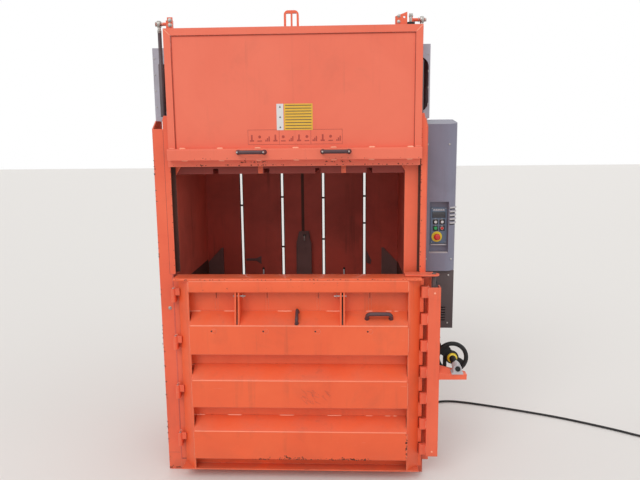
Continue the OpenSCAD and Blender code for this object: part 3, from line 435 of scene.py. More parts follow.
class Shape:
    """One mesh in the making, in the drawing's millimetres."""

    def __init__(self) -> None:
        """Starts an empty mesh."""
        self.bm = bmesh.new()

    def move(self, verts: list, matrix: Matrix) -> list:
        """Moves vertices.

        Args:
            verts: the vertices.
            matrix: the move.

        Returns:
            The same vertices.
        """
        bmesh.ops.transform(self.bm, matrix=matrix, verts=verts)
        return verts

    def soften(self, verts: list, width: float, segments: int = 2, least: float = 25.0) -> None:
        """Bevels the sharp edges among some vertices.

        Args:
            verts: the vertices whose edges may be bevelled.
            width: the bevel's width.
            segments: its steps.
            least: the smallest angle in degrees that counts as sharp.
        """
        chosen = set(verts)
        edges = [e for e in self.bm.edges if e.verts[0] in chosen and e.verts[1] in chosen
                 and len(e.link_faces) == 2 and e.calc_face_angle(0.0) > math.radians(least)]
        bmesh.ops.bevel(self.bm, geom=edges, offset=width, offset_type="OFFSET", segments=segments,
                        profile=0.5, affect="EDGES", clamp_overlap=True, material=-1)

    def slab(self, x: Span, y: Span, z: Span, soft: float = 0.0, turn: Matrix | None = None,
             segments: int = 2) -> None:
        """Adds a block, softened on its edges.

        Args:
            x: from and to along X.
            y: from and to along Y.
            z: from and to along Z.
            soft: the bevel's width, or 0.
            turn: a turn about the block's middle.
            segments: the bevel's steps.
        """
        made = bmesh.ops.create_cube(self.bm, size=1.0)["verts"]
        size = Matrix.Diagonal((x[1] - x[0], y[1] - y[0], z[1] - z[0], 1.0))
        middle = Matrix.Translation((sum(x) / 2, sum(y) / 2, sum(z) / 2))
        self.move(made, middle @ (turn or Matrix.Identity(4)) @ size)
        if soft:
            self.soften(made, soft, segments)

    @staticmethod
    def facing(point: Point, axis: Axis | Vector) -> Matrix:
        """Gives the place whose own Z points along an axis.

        Args:
            point: the place.
            axis: the direction.

        Returns:
            The matrix.
        """
        way = Vector(axis.value if isinstance(axis, Axis) else axis)
        return Matrix.Translation(point) @ way.to_track_quat("Z", "Y").to_matrix().to_4x4()

    def cone(self, point: Point, axis: Axis | Vector, radii: Span, length: float, sides: int = 24,
             soft: float = 0.0) -> None:
        """Adds a closed cylinder or cone that starts at a point.

        Args:
            point: the middle of its first end.
            axis: where it points.
            radii: its radius at the first and the far end.
            length: its length.
            sides: its sides.
            soft: the bevel's width, or 0.
        """
        made = bmesh.ops.create_cone(self.bm, cap_ends=True, cap_tris=False, segments=sides, radius1=radii[0],
                                     radius2=radii[1], depth=length)["verts"]
        self.move(made, self.facing(point, axis) @ Matrix.Translation((0, 0, length / 2)))
        if soft:
            self.soften(made, soft)

    def turned(self, point: Point, axis: Axis | Vector, outline: list[Span], steps: int = 32) -> None:
        """Spins an outline into a closed round piece.

        Args:
            point: where the outline's height 0 is.
            axis: the axis that it is spun about.
            outline: radius and height of each point; a radius of 0 closes an end.
            steps: the steps of the spin.
        """
        verts = [self.bm.verts.new((r, 0, h)) for r, h in outline]
        edges = [self.bm.edges.new(pair) for pair in zip(verts, verts[1:])]
        if outline[0][0] and outline[-1][0]:
            edges.append(self.bm.edges.new((verts[-1], verts[0])))
        spun = bmesh.ops.spin(self.bm, geom=verts + edges, cent=(0, 0, 0), axis=(0, 0, 1), dvec=(0, 0, 0),
                              angle=math.tau, steps=steps, use_merge=True, use_duplicate=False)
        found = {v for g in spun["geom_last"] if isinstance(g, bmesh.types.BMVert) for v in self.linked(g)}
        found |= {v for first in verts if first.is_valid for v in self.linked(first)}
        bmesh.ops.remove_doubles(self.bm, verts=list(found), dist=0.001)
        found = [v for v in found if v.is_valid]
        bmesh.ops.recalc_face_normals(self.bm, faces=list({f for v in found for f in v.link_faces}))
        self.move(found, self.facing(point, axis))

    def extruded(self, outline: list[Span], axis: Axis, span: Span, soft: float = 0.0) -> None:
        """Draws an outline out along X, Y or Z.

        Args:
            outline: its points in the two other directions, in their order.
            axis: the axis.
            span: from and to along the axis.
            soft: the bevel's width, or 0.
        """
        at = "XYZ".index(axis.name)
        ends = [[self.bm.verts.new((*point[:at], level, *point[at:])) for point in outline] for level in span]
        faces = [self.bm.faces.new(end) for end in ends]
        for i in range(len(outline)):
            faces.append(self.bm.faces.new((ends[0][i - 1], ends[0][i], ends[1][i], ends[1][i - 1])))
        bmesh.ops.recalc_face_normals(self.bm, faces=faces)
        if soft:
            self.soften(ends[0] + ends[1], soft)

    @staticmethod
    def linked(start: bmesh.types.BMVert) -> set:
        """Finds all vertices joined to one.

        Args:
            start: the vertex.

        Returns:
            The joined vertices.
        """
        seen, todo = {start}, [start]
        while todo:
            for edge in todo.pop().link_edges:
                for other in edge.verts:
                    if other not in seen:
                        seen.add(other)
                        todo.append(other)
        return seen

    def swept(self, path: list[Point], radius: float, sides: int = 12, flat: float = 1.0) -> None:
        """Sweeps a round bar along a path.

        Args:
            path: its points.
            radius: the bar's radius.
            sides: its sides.
            flat: its height over its width.
        """
        points = [Vector(p) for p in path]
        last = len(points) - 1
        ways = [(points[min(i + 1, last)] - points[max(i - 1, 0)]).normalized() for i in range(last + 1)]
        made = bmesh.ops.create_circle(self.bm, cap_ends=True, segments=sides, radius=radius)["verts"]
        self.move(made, Matrix.Diagonal((1, flat, 1, 1)))
        turn = ways[0].to_track_quat("Z", "Y")
        self.move(made, Matrix.Translation(points[0]) @ turn.to_matrix().to_4x4())
        cap = made[0].link_faces[0]
        everything = set(made)
        for here, there, way_a, way_b in zip(points, points[1:], ways, ways[1:]):
            step = bmesh.ops.extrude_face_region(self.bm, geom=[cap], use_keep_orig=here is points[0])
            made = [g for g in step["geom"] if isinstance(g, bmesh.types.BMVert)]
            cap = next(g for g in step["geom"] if isinstance(g, bmesh.types.BMFace))
            turn = way_a.rotation_difference(way_b).to_matrix().to_4x4()
            self.move(made, Matrix.Translation(there) @ turn @ Matrix.Translation(-here))
            everything |= set(made)
        faces = {f for v in everything if v.is_valid for f in v.link_faces}
        bmesh.ops.recalc_face_normals(self.bm, faces=list(faces))

    def bolt(self, point: Point, axis: Axis | Vector, flats: float, washer: float = 0.0,
             length: float = 0.0) -> None:
        """Adds a hexagon bolt head on its washer, with a stub of thread where asked.

        Args:
            point: the middle of the face that it sits on.
            axis: where the head points.
            flats: the width across the head's flats.
            washer: the washer's diameter, or 0.
            length: how far the thread stands out past the head.
        """
        way = Vector(axis.value if isinstance(axis, Axis) else axis).normalized()
        here = Vector(point)
        if washer:
            self.cone(here, way, (washer / 2, washer / 2), flats * 0.12, 24, flats * 0.03)
            here = here + way * flats * 0.12
        corner = flats / math.sqrt(3)
        self.cone(here, way, (corner, corner), flats * 0.6, 6, flats * 0.06)
        if length:
            self.cone(here + way * flats * 0.58, way, (flats * 0.27, flats * 0.25), length, 16, flats * 0.04)

    def bead(self, start: Point, end: Point, radius: float, ripple: float = 5.0) -> None:
        """Adds a weld bead, a rounded row of overlapping ripples.

        Args:
            start: where it starts.
            end: where it ends.
            radius: its half width.
            ripple: the length of one ripple.
        """
        first, last = Vector(start), Vector(end)
        length = (last - first).length
        count = max(2, round(length / ripple))
        outline = [(0.0, 0.0)]
        for i in range(count * 2 + 1):
            swell = 1.0 if i % 2 else 0.82
            ease = min(1.0, (min(i, count * 2 - i) + 1) / 3)
            outline.append((radius * swell * ease, length * i / (count * 2) * 0.98 + length * 0.01))
        outline.append((0.0, length))
        self.turned(start, last - first, outline, 6)

    def finish(self, name: str, body: Body, look: bpy.types.Material, slot: str,
               replaced: tuple[str, ...] = (), angle: float = 35.0) -> bpy.types.Object:
        """Makes the mesh a piece of the part.

        Args:
            name: the piece's name.
            body: the body that it rides on.
            look: its material.
            slot: the material slot of its finish; not used.
            replaced: the solids that it stands for.
            angle: edges sharper than this in degrees stay sharp.

        Returns:
            The piece.
        """
        bmesh.ops.transform(self.bm, matrix=TO_PART, verts=self.bm.verts)
        mesh = bpy.data.meshes.new(name)
        self.bm.to_mesh(mesh)
        self.bm.free()
        mesh.shade_smooth()
        mesh.set_sharp_from_angle(angle=math.radians(angle))
        mesh.materials.append(look)
        piece = bpy.data.objects.new(name, mesh)
        bpy.context.scene.collection.objects.link(piece)
        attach(piece, body.value)
        if replaced:
            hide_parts(*replaced)
        log.info("%s: %d faces on %s", name, len(mesh.polygons), body.value)
        return piece


class Paintbox:
    """Every finish of the machine, made when it is first asked for."""

    def __init__(self) -> None:
        """Builds the shared effects."""
        self.effects = Effects()

    def __call__(self, finish: Finish) -> bpy.types.Material:
        """Gives a finish's material.

        Args:
            finish: the finish.

        Returns:
            The material.
        """
        return finish.material(self.effects)


ORANGE = Finish("orange_enamel", (238, 106, 71), (230, 96, 63), 0.42, coat=0.1, edge=2.0, wear=0.35,
                dirt=0.25, edge_highlight=0.45)
GATE_ORANGE = Finish("gate_enamel", (236, 114, 86), (232, 108, 80), 0.4, coat=0.12, wear=0.1, dirt=0.14)
DOOR_ORANGE = Finish("door_enamel", (239, 102, 57), (233, 94, 51), 0.4, coat=0.1, edge=3.0, wear=0.5,
                     dirt=0.24, edge_highlight=0.5)
# Darker than the outside's enamel, a painted shade for the shadowed inside of the chamber.
INNER_ORANGE = Finish("chamber_enamel_painted_shade", (200, 76, 59), (172, 65, 51), 0.55, wear=0.6, dirt=0.55,
                      dirty=(104, 52, 44), low=1.2, edge_highlight=0.1)
SIDE_ORANGE = Finish("side_wall_enamel", (226, 102, 82), (200, 88, 72), 0.5, wear=0.6, dirt=0.45,
                     dirty=(130, 62, 52), low=0.8, edge_highlight=0.2)
# Dark orange for the press plate, a painted shade for its place in shadow at the chamber's top.
PRESS_ORANGE = Finish("press_plate_painted_shade", (156, 56, 44), (138, 50, 40), 0.5, wear=0.2, worn=(120, 66, 54),
                      dirt=0.3, dirty=(84, 42, 36))
# A darker copy of the orange enamel, a painted shade on the right column.
RIGHT_ORANGE = Finish("right_column_painted_shade", (222, 92, 60), (212, 84, 54), 0.42, coat=0.1, edge=2.0,
                      wear=0.35, dirt=0.35, edge_highlight=0.45)
# Pale orange for beads on the door's folds, a painted highlight where the folds catch the light.
FOLD_HIGHLIGHT = Finish("fold_painted_highlight", (255, 150, 118), (250, 140, 106), 0.35, coat=0.2, wear=0.4,
                    worn=(150, 70, 52), dirt=0.2)
# Near-white for the weld beads, a painted highlight where the beads catch the light.
WELD_HIGHLIGHT = Finish("weld_painted_highlight", (255, 178, 148), (250, 160, 128), 0.35, coat=0.2, edge=0.5, wear=0.3, dirt=0.15)
HOOD_GREY = Finish("hood_grey", (184, 182, 194), (174, 172, 184), 0.5, wear=0.15, dirt=0.3,
                   dirty=(120, 110, 106), edge_highlight=0.3)
CABINET_GREY = Finish("cabinet_grey", (128, 127, 145), (120, 119, 136), 0.5, wear=0.12, dirt=0.25,
                      dirty=(92, 84, 84), edge_highlight=0.25, bump=0.16)
LOWER_GREY = Finish("power_cabinet_grey", (88, 77, 78), (75, 65, 66), 0.55, wear=0.2, dirt=0.5,
                    dirty=(72, 58, 54))
# Pale grey for the light grey parts and the louvre blades, and a painted highlight on the panel recess's
# ledges.
PALE_GREY = Finish("pale_grey_and_ledge_highlight", (190, 186, 190), (176, 172, 176), 0.5, wear=0.4, dirt=0.4)
BARE_STEEL = Finish("bare_steel", (168, 166, 168), (140, 138, 142), 0.32, 0.9, wear=0.3, dirt=0.35,
                    dirty=(86, 70, 60), brushed=True)
ZINC = Finish("zinc_plating", (188, 186, 184), (170, 166, 160), 0.35, 0.85, wear=0.1, dirt=0.2,
              dirty=(120, 108, 96))
DIRTY_STEEL = Finish("worn_dark_steel", (118, 84, 80), (96, 66, 64), 0.6, wear=0.8, worn=(150, 122, 112),
                     dirt=0.6, dirty=(78, 52, 48), low=1.4)
CAST_BLACK = Finish("cast_black", (40, 36, 40), (30, 28, 30), 0.5, wear=0.45, worn=(110, 104, 104), dirt=0.35,
                    dirty=(70, 56, 50), grain=260.0, bump=0.3, edge_highlight=0.12)
BLACK_PLASTIC = Finish("black_plastic", (38, 35, 40), (32, 30, 34), 0.42, wear=0.1, worn=(80, 76, 80),
                       dirt=0.3, dirty=(80, 70, 66), edge_highlight=0.12)
GRIP_BROWN = Finish("grip_brown", (80, 52, 58), (70, 45, 51), 0.38, wear=0.15, worn=(120, 92, 92), dirt=0.3,
                    dirty=(98, 72, 68), edge_highlight=0.15)
# Near-black for the scraps caught in the slots, and for painted shade in the door's strap gaps and rib holes.
GROOVE_BLACK = Finish("gap_shade_and_scraps", (56, 30, 28), (40, 24, 24), 0.45, wear=0.4, dirt=0.8,
                      dirty=(30, 22, 22), low=2.2, edge_highlight=0.05)
STRUT_GREY = Finish("strut_lacquer", (92, 76, 80), (78, 64, 68), 0.4, 0.2, wear=0.6, worn=(160, 146, 140),
                    dirt=0.4, dirty=(84, 60, 54), edge_highlight=0.2)
RED_PLASTIC = Finish("red_plastic", (222, 74, 74), (212, 64, 66), 0.32, coat=0.3, wear=0.1,
                     worn=(180, 60, 60), dirt=0.12)
YELLOW_PLASTIC = Finish("yellow_plastic", (236, 196, 60), (228, 184, 50), 0.4, coat=0.2, wear=0.15,
                        worn=(200, 160, 50), dirt=0.2)
GREEN_PLASTIC = Finish("green_plastic", (50, 130, 108), (44, 118, 98), 0.35, coat=0.2, wear=0.1, dirt=0.1)
WHITE_PLASTIC = Finish("white_plastic", (226, 222, 222), (214, 210, 208), 0.4, wear=0.12,
                       worn=(170, 164, 160), dirt=0.35, dirty=(150, 138, 128))
PANEL_BLUE = Finish("panel_film", (104, 104, 122), (96, 96, 114), 0.3, coat=0.3, wear=0.1, dirt=0.15)
DARK_GLASS = Finish("dark_display", (44, 42, 50), (38, 36, 44), 0.12, coat=0.6, wear=0.05,
                    dirt=0.1, bump=0.02)
RULED_YELLOW = Finish("yellow_plate", (232, 186, 54), (222, 172, 46), 0.4, coat=0.2, wear=0.3,
                      worn=(170, 126, 60), dirt=0.2, dirty=(170, 130, 70))
PRINT_BLACK = Finish("printed_black", (58, 52, 54), (50, 46, 48), 0.45, wear=0.3,
                     worn=(120, 110, 100), dirt=0.1)
PRINT_RED = Finish("printed_red", (184, 70, 54), (172, 64, 50), 0.45, wear=0.25,
                   worn=(236, 116, 86), dirt=0.1)
# Dark brown for rust in chips, for the dark strips and patches in the chamber, and for the painted shade in
# the gate's grooves.
RUST = Finish("dark_rust_and_groove_shade", (96, 52, 40), (72, 42, 36), 0.7, wear=0.4, worn=(130, 84, 60), dirt=0.4)
# Dark orange for the columns' seams and the door's scuffs, and for the painted shadow along the gate panel's
# edges.
SEAM_SHADE = Finish("seam_and_painted_shadow", (190, 78, 56), (176, 70, 50), 0.5, wear=0.3, dirt=0.3)
RUBBER = Finish("cable_rubber", (42, 40, 42), (36, 34, 36), 0.6, wear=0.05, worn=(70, 68, 70), dirt=0.45,
                dirty=(98, 90, 84), low=0.2, grain=700.0, bump=0.2, edge_highlight=0.08)

# back_wall and floor_plate take the chamber's darker enamel, and column_right, press_plate and lock_rod
# darker finishes, each as painted shade.
NODE_FINISH = {"hood": HOOD_GREY, "control_cabinet": CABINET_GREY, "power_cabinet": LOWER_GREY,
               "control_panel": PANEL_BLUE, "gate_panel": GATE_ORANGE, "gate_frame": GATE_ORANGE,
               "gate_bottom_bar": GATE_ORANGE, "back_wall": INNER_ORANGE, "floor_plate": INNER_ORANGE,
               "side_wall_left": SIDE_ORANGE, "side_wall_right": SIDE_ORANGE, "door_skin": DOOR_ORANGE,
               "door_ribs": DOOR_ORANGE, "door_top_rail": DOOR_ORANGE, "door_posts": DOOR_ORANGE,
               "door_teeth": DOOR_ORANGE, "ejector_frame": DIRTY_STEEL, "column_right": RIGHT_ORANGE,
               "press_plate": PRESS_ORANGE, "lock_rod": LOWER_GREY, "cleat": GRIP_BROWN}
SLOT_FINISH = {"orange_paint": ORANGE, "grey_paint": CABINET_GREY, "dark_paint": LOWER_GREY,
               "panel_film": PANEL_BLUE, "bare_steel": BARE_STEEL, "cast_black": CAST_BLACK,
               "black_plastic": BLACK_PLASTIC, "red_plastic": RED_PLASTIC, "yellow_plastic": YELLOW_PLASTIC,
               "green_plastic": GREEN_PLASTIC, "white_plastic": WHITE_PLASTIC, "cable_rubber": RUBBER,
               "light_grey_paint": PALE_GREY}


def dress_solids(paint: Paintbox) -> None:
    """Gives every solid of the drawing its finish.

    Args:
        paint: the finishes.
    """
    slots = {row["node"]: row["material_slot"] for row in frame["record"]["subparts"]}
    for name, solid in frame["nodes"].items():
        finish = NODE_FINISH.get(name) or SLOT_FINISH[slots[name]]
        look = paint(finish)
        for place in solid.material_slots:
            place.material = look
        if not solid.material_slots:
            solid.data.materials.append(look)
    log.info("finished %d solids", len(frame["nodes"]))


@dataclass
class Assembly:
    """A sub-assembly that is built from its own measures with the shared finishes."""

    paint: Paintbox

    def build(self) -> None:
        """Builds all its pieces."""
        raise NotImplementedError


# The lead's way from the gland down the machine's side and out over the floor, in the part's metres.
CABLE_ROUTE = [
    (0.760, -0.028, 0.700), (0.760, -0.028, 0.560), (0.760, -0.028, 0.420), (0.760, -0.028, 0.280),
    (0.760, -0.027, 0.180), (0.761, -0.020, 0.110), (0.763, 0.002, 0.055), (0.767, 0.042, 0.022),
    (0.772, 0.102, 0.0085), (0.778, 0.182, 0.0075), (0.788, 0.262, 0.0075), (0.808, 0.337, 0.0075),
    (0.842, 0.397, 0.0075), (0.895, 0.432, 0.0075), (0.965, 0.440, 0.0075), (1.050, 0.424, 0.0075),
    (1.151, 0.392, 0.0075), (1.265, 0.350, 0.0075), (1.385, 0.302, 0.0075), (1.500, 0.254, 0.0075),
    (1.604, 0.206, 0.0075), (1.705, 0.152, 0.0075), (1.800, 0.097, 0.0075), (1.890, 0.042, 0.0075),
    (1.970, -0.013, 0.0075), (2.045, -0.056, 0.0075), (2.110, -0.078, 0.0075),
]


@dataclass
class MainsLead(Assembly):
    """The mains lead from the power cabinet to its plug, wound up where it isn't seen."""

    diameter: float = 0.013
    coil: tuple[float, float] = (2.150, -0.003)
    coil_radius: float = 0.075
    turns: float = 2.25
    points_a_turn: int = 20
    climb_from: float = 0.6
    climb_to: float = 0.85
    gland_at: Point = (760.0, 400.0, 700.0)
    plug_at: Point = (2225.0, 502.0, 30.5)
    rise: float = 0.0075

    def coil_points(self) -> list[Point]:
        """Lays the turns on each other.

        Returns:
            The coil's points, in metres.
        """
        points = []
        for i in range(int(self.turns * self.points_a_turn) + 1):
            t = i / self.points_a_turn
            part = min(1.0, max(0.0, (t % 1 - self.climb_from) / (self.climb_to - self.climb_from)))
            level = int(t) + part * part * (3 - 2 * part)
            turn = math.tau * (t - 0.25)
            points.append((self.coil[0] + self.coil_radius * math.cos(turn),
                           self.coil[1] + self.coil_radius * math.sin(turn),
                           self.rise + level * self.diameter))
        return points

    def last_run(self, start: Point) -> list[Point]:
        """Leads from the coil's top turn into the plug.

        Args:
            start: the coil's last point.

        Returns:
            The points up to the plug's back.
        """
        end = TO_PART @ Vector(self.plug_at)
        steps = 3
        return [(end.x, start[1] + (end.y - start[1]) * i / steps, start[2] + (end.z - start[2]) * i / steps)
                for i in range(1, steps + 1)]

    def build(self) -> None:
        """Builds the lead, its boot, its gland and its plug."""
        coiled = self.coil_points()
        points = CABLE_ROUTE + coiled + self.last_run(coiled[-1])
        data = bpy.data.curves.new("mains_lead", "CURVE")
        data.dimensions = "3D"
        data.bevel_depth = self.diameter / 2
        data.bevel_resolution = 4
        data.resolution_u = 4
        data.use_fill_caps = True
        spline = data.splines.new("BEZIER")
        spline.bezier_points.add(len(points) - 1)
        for knot, place in zip(spline.bezier_points, points):
            knot.co = place
            knot.handle_left_type = knot.handle_right_type = "AUTO"
        data.materials.append(self.paint(RUBBER))
        lead = bpy.data.objects.new("mains_lead", data)
        bpy.context.scene.collection.objects.link(lead)
        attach(lead, Body.FRAME.value)
        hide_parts("mains_cable", "mains_coil")
        bpy.context.view_layer.update()
        parts = self.gland() + self.plug()

    def gland(self) -> list[bpy.types.Object]:
        """Builds the cable gland and the tapered boot below it.

        Returns:
            The two pieces.
        """
        x, y, z = self.gland_at
        body = Shape()
        body.turned(self.gland_at, Axis.Z, [(6.6, 0), (9, 1), (11, 6), (12.5, 13), (12.5, 15), (6.6, 15)], 32)
        body.cone((x, y, z + 14), Axis.Z, (16, 16), 14, 6, 1.2)
        body.cone((x, y, z + 27.5), Axis.Z, (15.5, 15.5), 4.4, 32, 0.8)
        boot = Shape()
        outline = [(6.6, 0), (7.4, 1)]
        for i in range(5):
            low = 3 + i * 8
            outline += [(7.6 + i * 0.35, low), (7.6 + i * 0.35, low + 5), (7.0 + i * 0.35, low + 6),
                        (7.0 + i * 0.35, low + 7)]
        outline += [(9.2, 43), (9.2, 45), (6.6, 45)]
        boot.turned((x, y, z - 43), Axis.Z, outline, 24)
        return [body.finish("cable_gland_nut", Body.FRAME, self.paint(BLACK_PLASTIC), "black_plastic",
                            ("cable_gland",)),
                boot.finish("cable_boot", Body.FRAME, self.paint(RUBBER), "cable_rubber")]

    def plug(self) -> list[bpy.types.Object]:
        """Builds the industrial plug: boot nut, body, collar and five pins.

        Returns:
            Its pieces.
        """
        nut = Shape()
        nut.turned(self.plug_at, Axis.Y,
                   [(6.4, -32), (8, -32), (8.6, -20), (7.6, -19), (7.6, -17), (9.2, -16), (9.6, -4),
                    (10, -2), (13, 3), (19, 8), (21, 14), (21, 26), (19, 27), (6.4, 27)])
        for i in range(12):
            turn = Matrix.Rotation(i * math.tau / 12, 4, "Y")
            where = Matrix.Translation(self.plug_at) @ turn @ Matrix.Translation((0, 19, 20.6))
            made = bmesh.ops.create_cube(nut.bm, size=1.0,
                                         matrix=where @ Matrix.Diagonal((3, 13, 2.4, 1)))["verts"]
            nut.soften(made, 0.5)
        shell = Shape()
        shell.turned(self.plug_at, Axis.Y,
                     [(0, 27.5), (21, 27.5), (23.5, 30), (25.5, 52), (28, 56), (30, 57), (30, 70), (28, 72),
                      (28, 109), (27, 110), (25, 110), (25, 76), (0, 76)], 40)
        x, y, z = self.plug_at
        shell.slab((x - 4, x + 4), (y + 60, y + 106), (z + 26.5, z + 29.8), 0.8)
        pins = Shape()
        for i in range(5):
            turn = math.radians(90 + i * 72)
            at = (x + 16 * math.cos(turn), y + 75.5, z + 16 * math.sin(turn))
            radius = 3.2 if i == 0 else 2.6
            pins.cone(at, Axis.Y, (radius, radius), 29, 16, 0.8)
        return [nut.finish("plug_nut", Body.FRAME, self.paint(BLACK_PLASTIC), "black_plastic"),
                shell.finish("plug_shell", Body.FRAME, self.paint(RED_PLASTIC), "red_plastic",
                             ("mains_plug",)),
                pins.finish("plug_pins", Body.FRAME, self.paint(ZINC), "bare_steel")]


@dataclass(frozen=True)
class Lamp:
    """A soft lamp: where its light comes from, its strength and its spread in degrees."""

    name: str
    way: Point
    strength: float
    spread: float

    def light(self) -> None:
        """Adds the lamp to the scene."""
        data = bpy.data.lights.new(self.name, "SUN")
        data.energy = self.strength
        data.angle = math.radians(self.spread)
        lamp = bpy.data.objects.new(self.name, data)
        lamp.matrix_world = Vector(self.way).to_track_quat("Z", "Y").to_matrix().to_4x4()
        bpy.context.scene.collection.objects.link(lamp)


@dataclass
class Studio:
    """The pale floor, the soft light and the camera at the photograph's angle."""

    camera_at: Point = (0.2655, -3.3975, 1.7146)
    yaw: float = -2.316
    pitch: float = 9.144
    roll: float = -0.0098
    focal_px: float = 605.53
    picture_px: float = 640.0
    sensor: float = 36.0
    ground: Rgb = (226, 224, 221)
    ground_half: float = 40.0
    sky_tint: tuple[float, ...] = (1.0, 0.98, 0.97, 1.0)
    sky_light: float = 0.66
    lamps: tuple[Lamp, ...] = (Lamp("key_sun", (-0.38, -0.85, 0.8), 1.05, 40),
                               Lamp("fill_sun", (0.8, -0.5, 0.6), 0.35, 60),
                               Lamp("back_sun", (0.2, 0.9, 0.6), 0.45, 60))

    def camera(self) -> None:
        """Places the camera that sees the photograph's view."""
        yaw, pitch = math.radians(self.yaw), math.radians(self.pitch)
        ahead = Vector((math.sin(yaw) * math.cos(pitch), math.cos(yaw) * math.cos(pitch), -math.sin(pitch)))
        level = Vector((math.cos(yaw), -math.sin(yaw), 0))
        upright = level.cross(ahead)
        right = math.cos(self.roll) * level + math.sin(self.roll) * upright
        up = -math.sin(self.roll) * level + math.cos(self.roll) * upright
        data = bpy.data.cameras.new("camera")
        data.sensor_width = self.sensor
        data.lens = self.sensor * self.focal_px / self.picture_px
        data.clip_end = 200
        camera = bpy.data.objects.new("camera", data)
        turn = Matrix((right, up, -ahead)).transposed().to_4x4()
        camera.matrix_world = Matrix.Translation(self.camera_at) @ turn
        bpy.context.scene.collection.objects.link(camera)
        bpy.context.scene.camera = camera

    def floor(self) -> None:
        """Lays the pale floor."""
        bm = bmesh.new()
        bmesh.ops.create_grid(bm, x_segments=1, y_segments=1, size=self.ground_half)
        mesh = bpy.data.meshes.new("floor")
        bm.to_mesh(mesh)
        bm.free()
        look = bpy.data.materials.new("pale_floor")
        look.use_nodes = True
        shader = look.node_tree.nodes["Principled BSDF"]
        shader.inputs["Base Color"].default_value = linear(self.ground)
        shader.inputs["Roughness"].default_value = 0.85
        mesh.materials.append(look)
        floor = bpy.data.objects.new("floor", mesh)
        bpy.context.scene.collection.objects.link(floor)

    def sky(self) -> None:
        """Sets the even light and the white background."""
        world = bpy.data.worlds.new("studio")
        world.use_nodes = True
        g = Graph(world.node_tree)
        world.node_tree.nodes.clear()
        ray = g.node("ShaderNodeLightPath").outputs
        seen = g.sum("MAXIMUM", ray["Is Camera Ray"],
                     g.sum("MAXIMUM", ray["Is Glossy Ray"], ray["Is Transmission Ray"]))
        soft = g.node("ShaderNodeBackground", {"Color": self.sky_tint, "Strength": self.sky_light})
        white = g.node("ShaderNodeBackground", {"Color": (1.0, 1.0, 1.0, 1.0), "Strength": 1.0})
        mix = g.node("ShaderNodeMixShader", {0: seen, 1: soft.outputs[0], 2: white.outputs[0]})
        g.node("ShaderNodeOutputWorld", {"Surface": mix.outputs[0]})
        bpy.context.scene.world = world

    def build(self) -> None:
        """Sets up the whole studio."""
        self.camera()
        self.floor()
        for lamp in self.lamps:
            lamp.light()
        self.sky()
        bpy.context.scene.view_settings.view_transform = "Standard"
        log.info("studio: camera, floor and lamps")


def spaced(first: float, last: float, count: int) -> list[float]:
    """Spaces places evenly.

    Args:
        first: the first place.
        last: the last place.
        count: how many places.

    Returns:
        The places.
    """
    return [first + (last - first) * i / (count - 1) for i in range(count)]


def bow(middle: Point, length: float, reach: float, out: Vector, along: Vector,
        corner: float = 14.0) -> list[Point]:
    """Gives the path of a bow handle.

    Args:
        middle: the middle of its foot line.
        length: the distance between its feet.
        reach: how far it stands out.
        out: where it stands out to.
        along: the direction from foot to foot.
        corner: the radius of its two bends.

    Returns:
        The path's points.
    """
    start = Vector(middle)
    path = [start - along * (length / 2)]
    for side in (-1, 1):
        centre = start + along * side * (length / 2 - corner) + out * (reach - corner)
        for i in range(7):
            turn = math.pi / 2 * i / 6
            a, b = (math.cos(turn), math.sin(turn)) if side < 0 else (math.sin(turn), math.cos(turn))
            path.append(centre + along * side * corner * a + out * corner * b)
    path.append(start + along * (length / 2))
    return [tuple(p) for p in path]


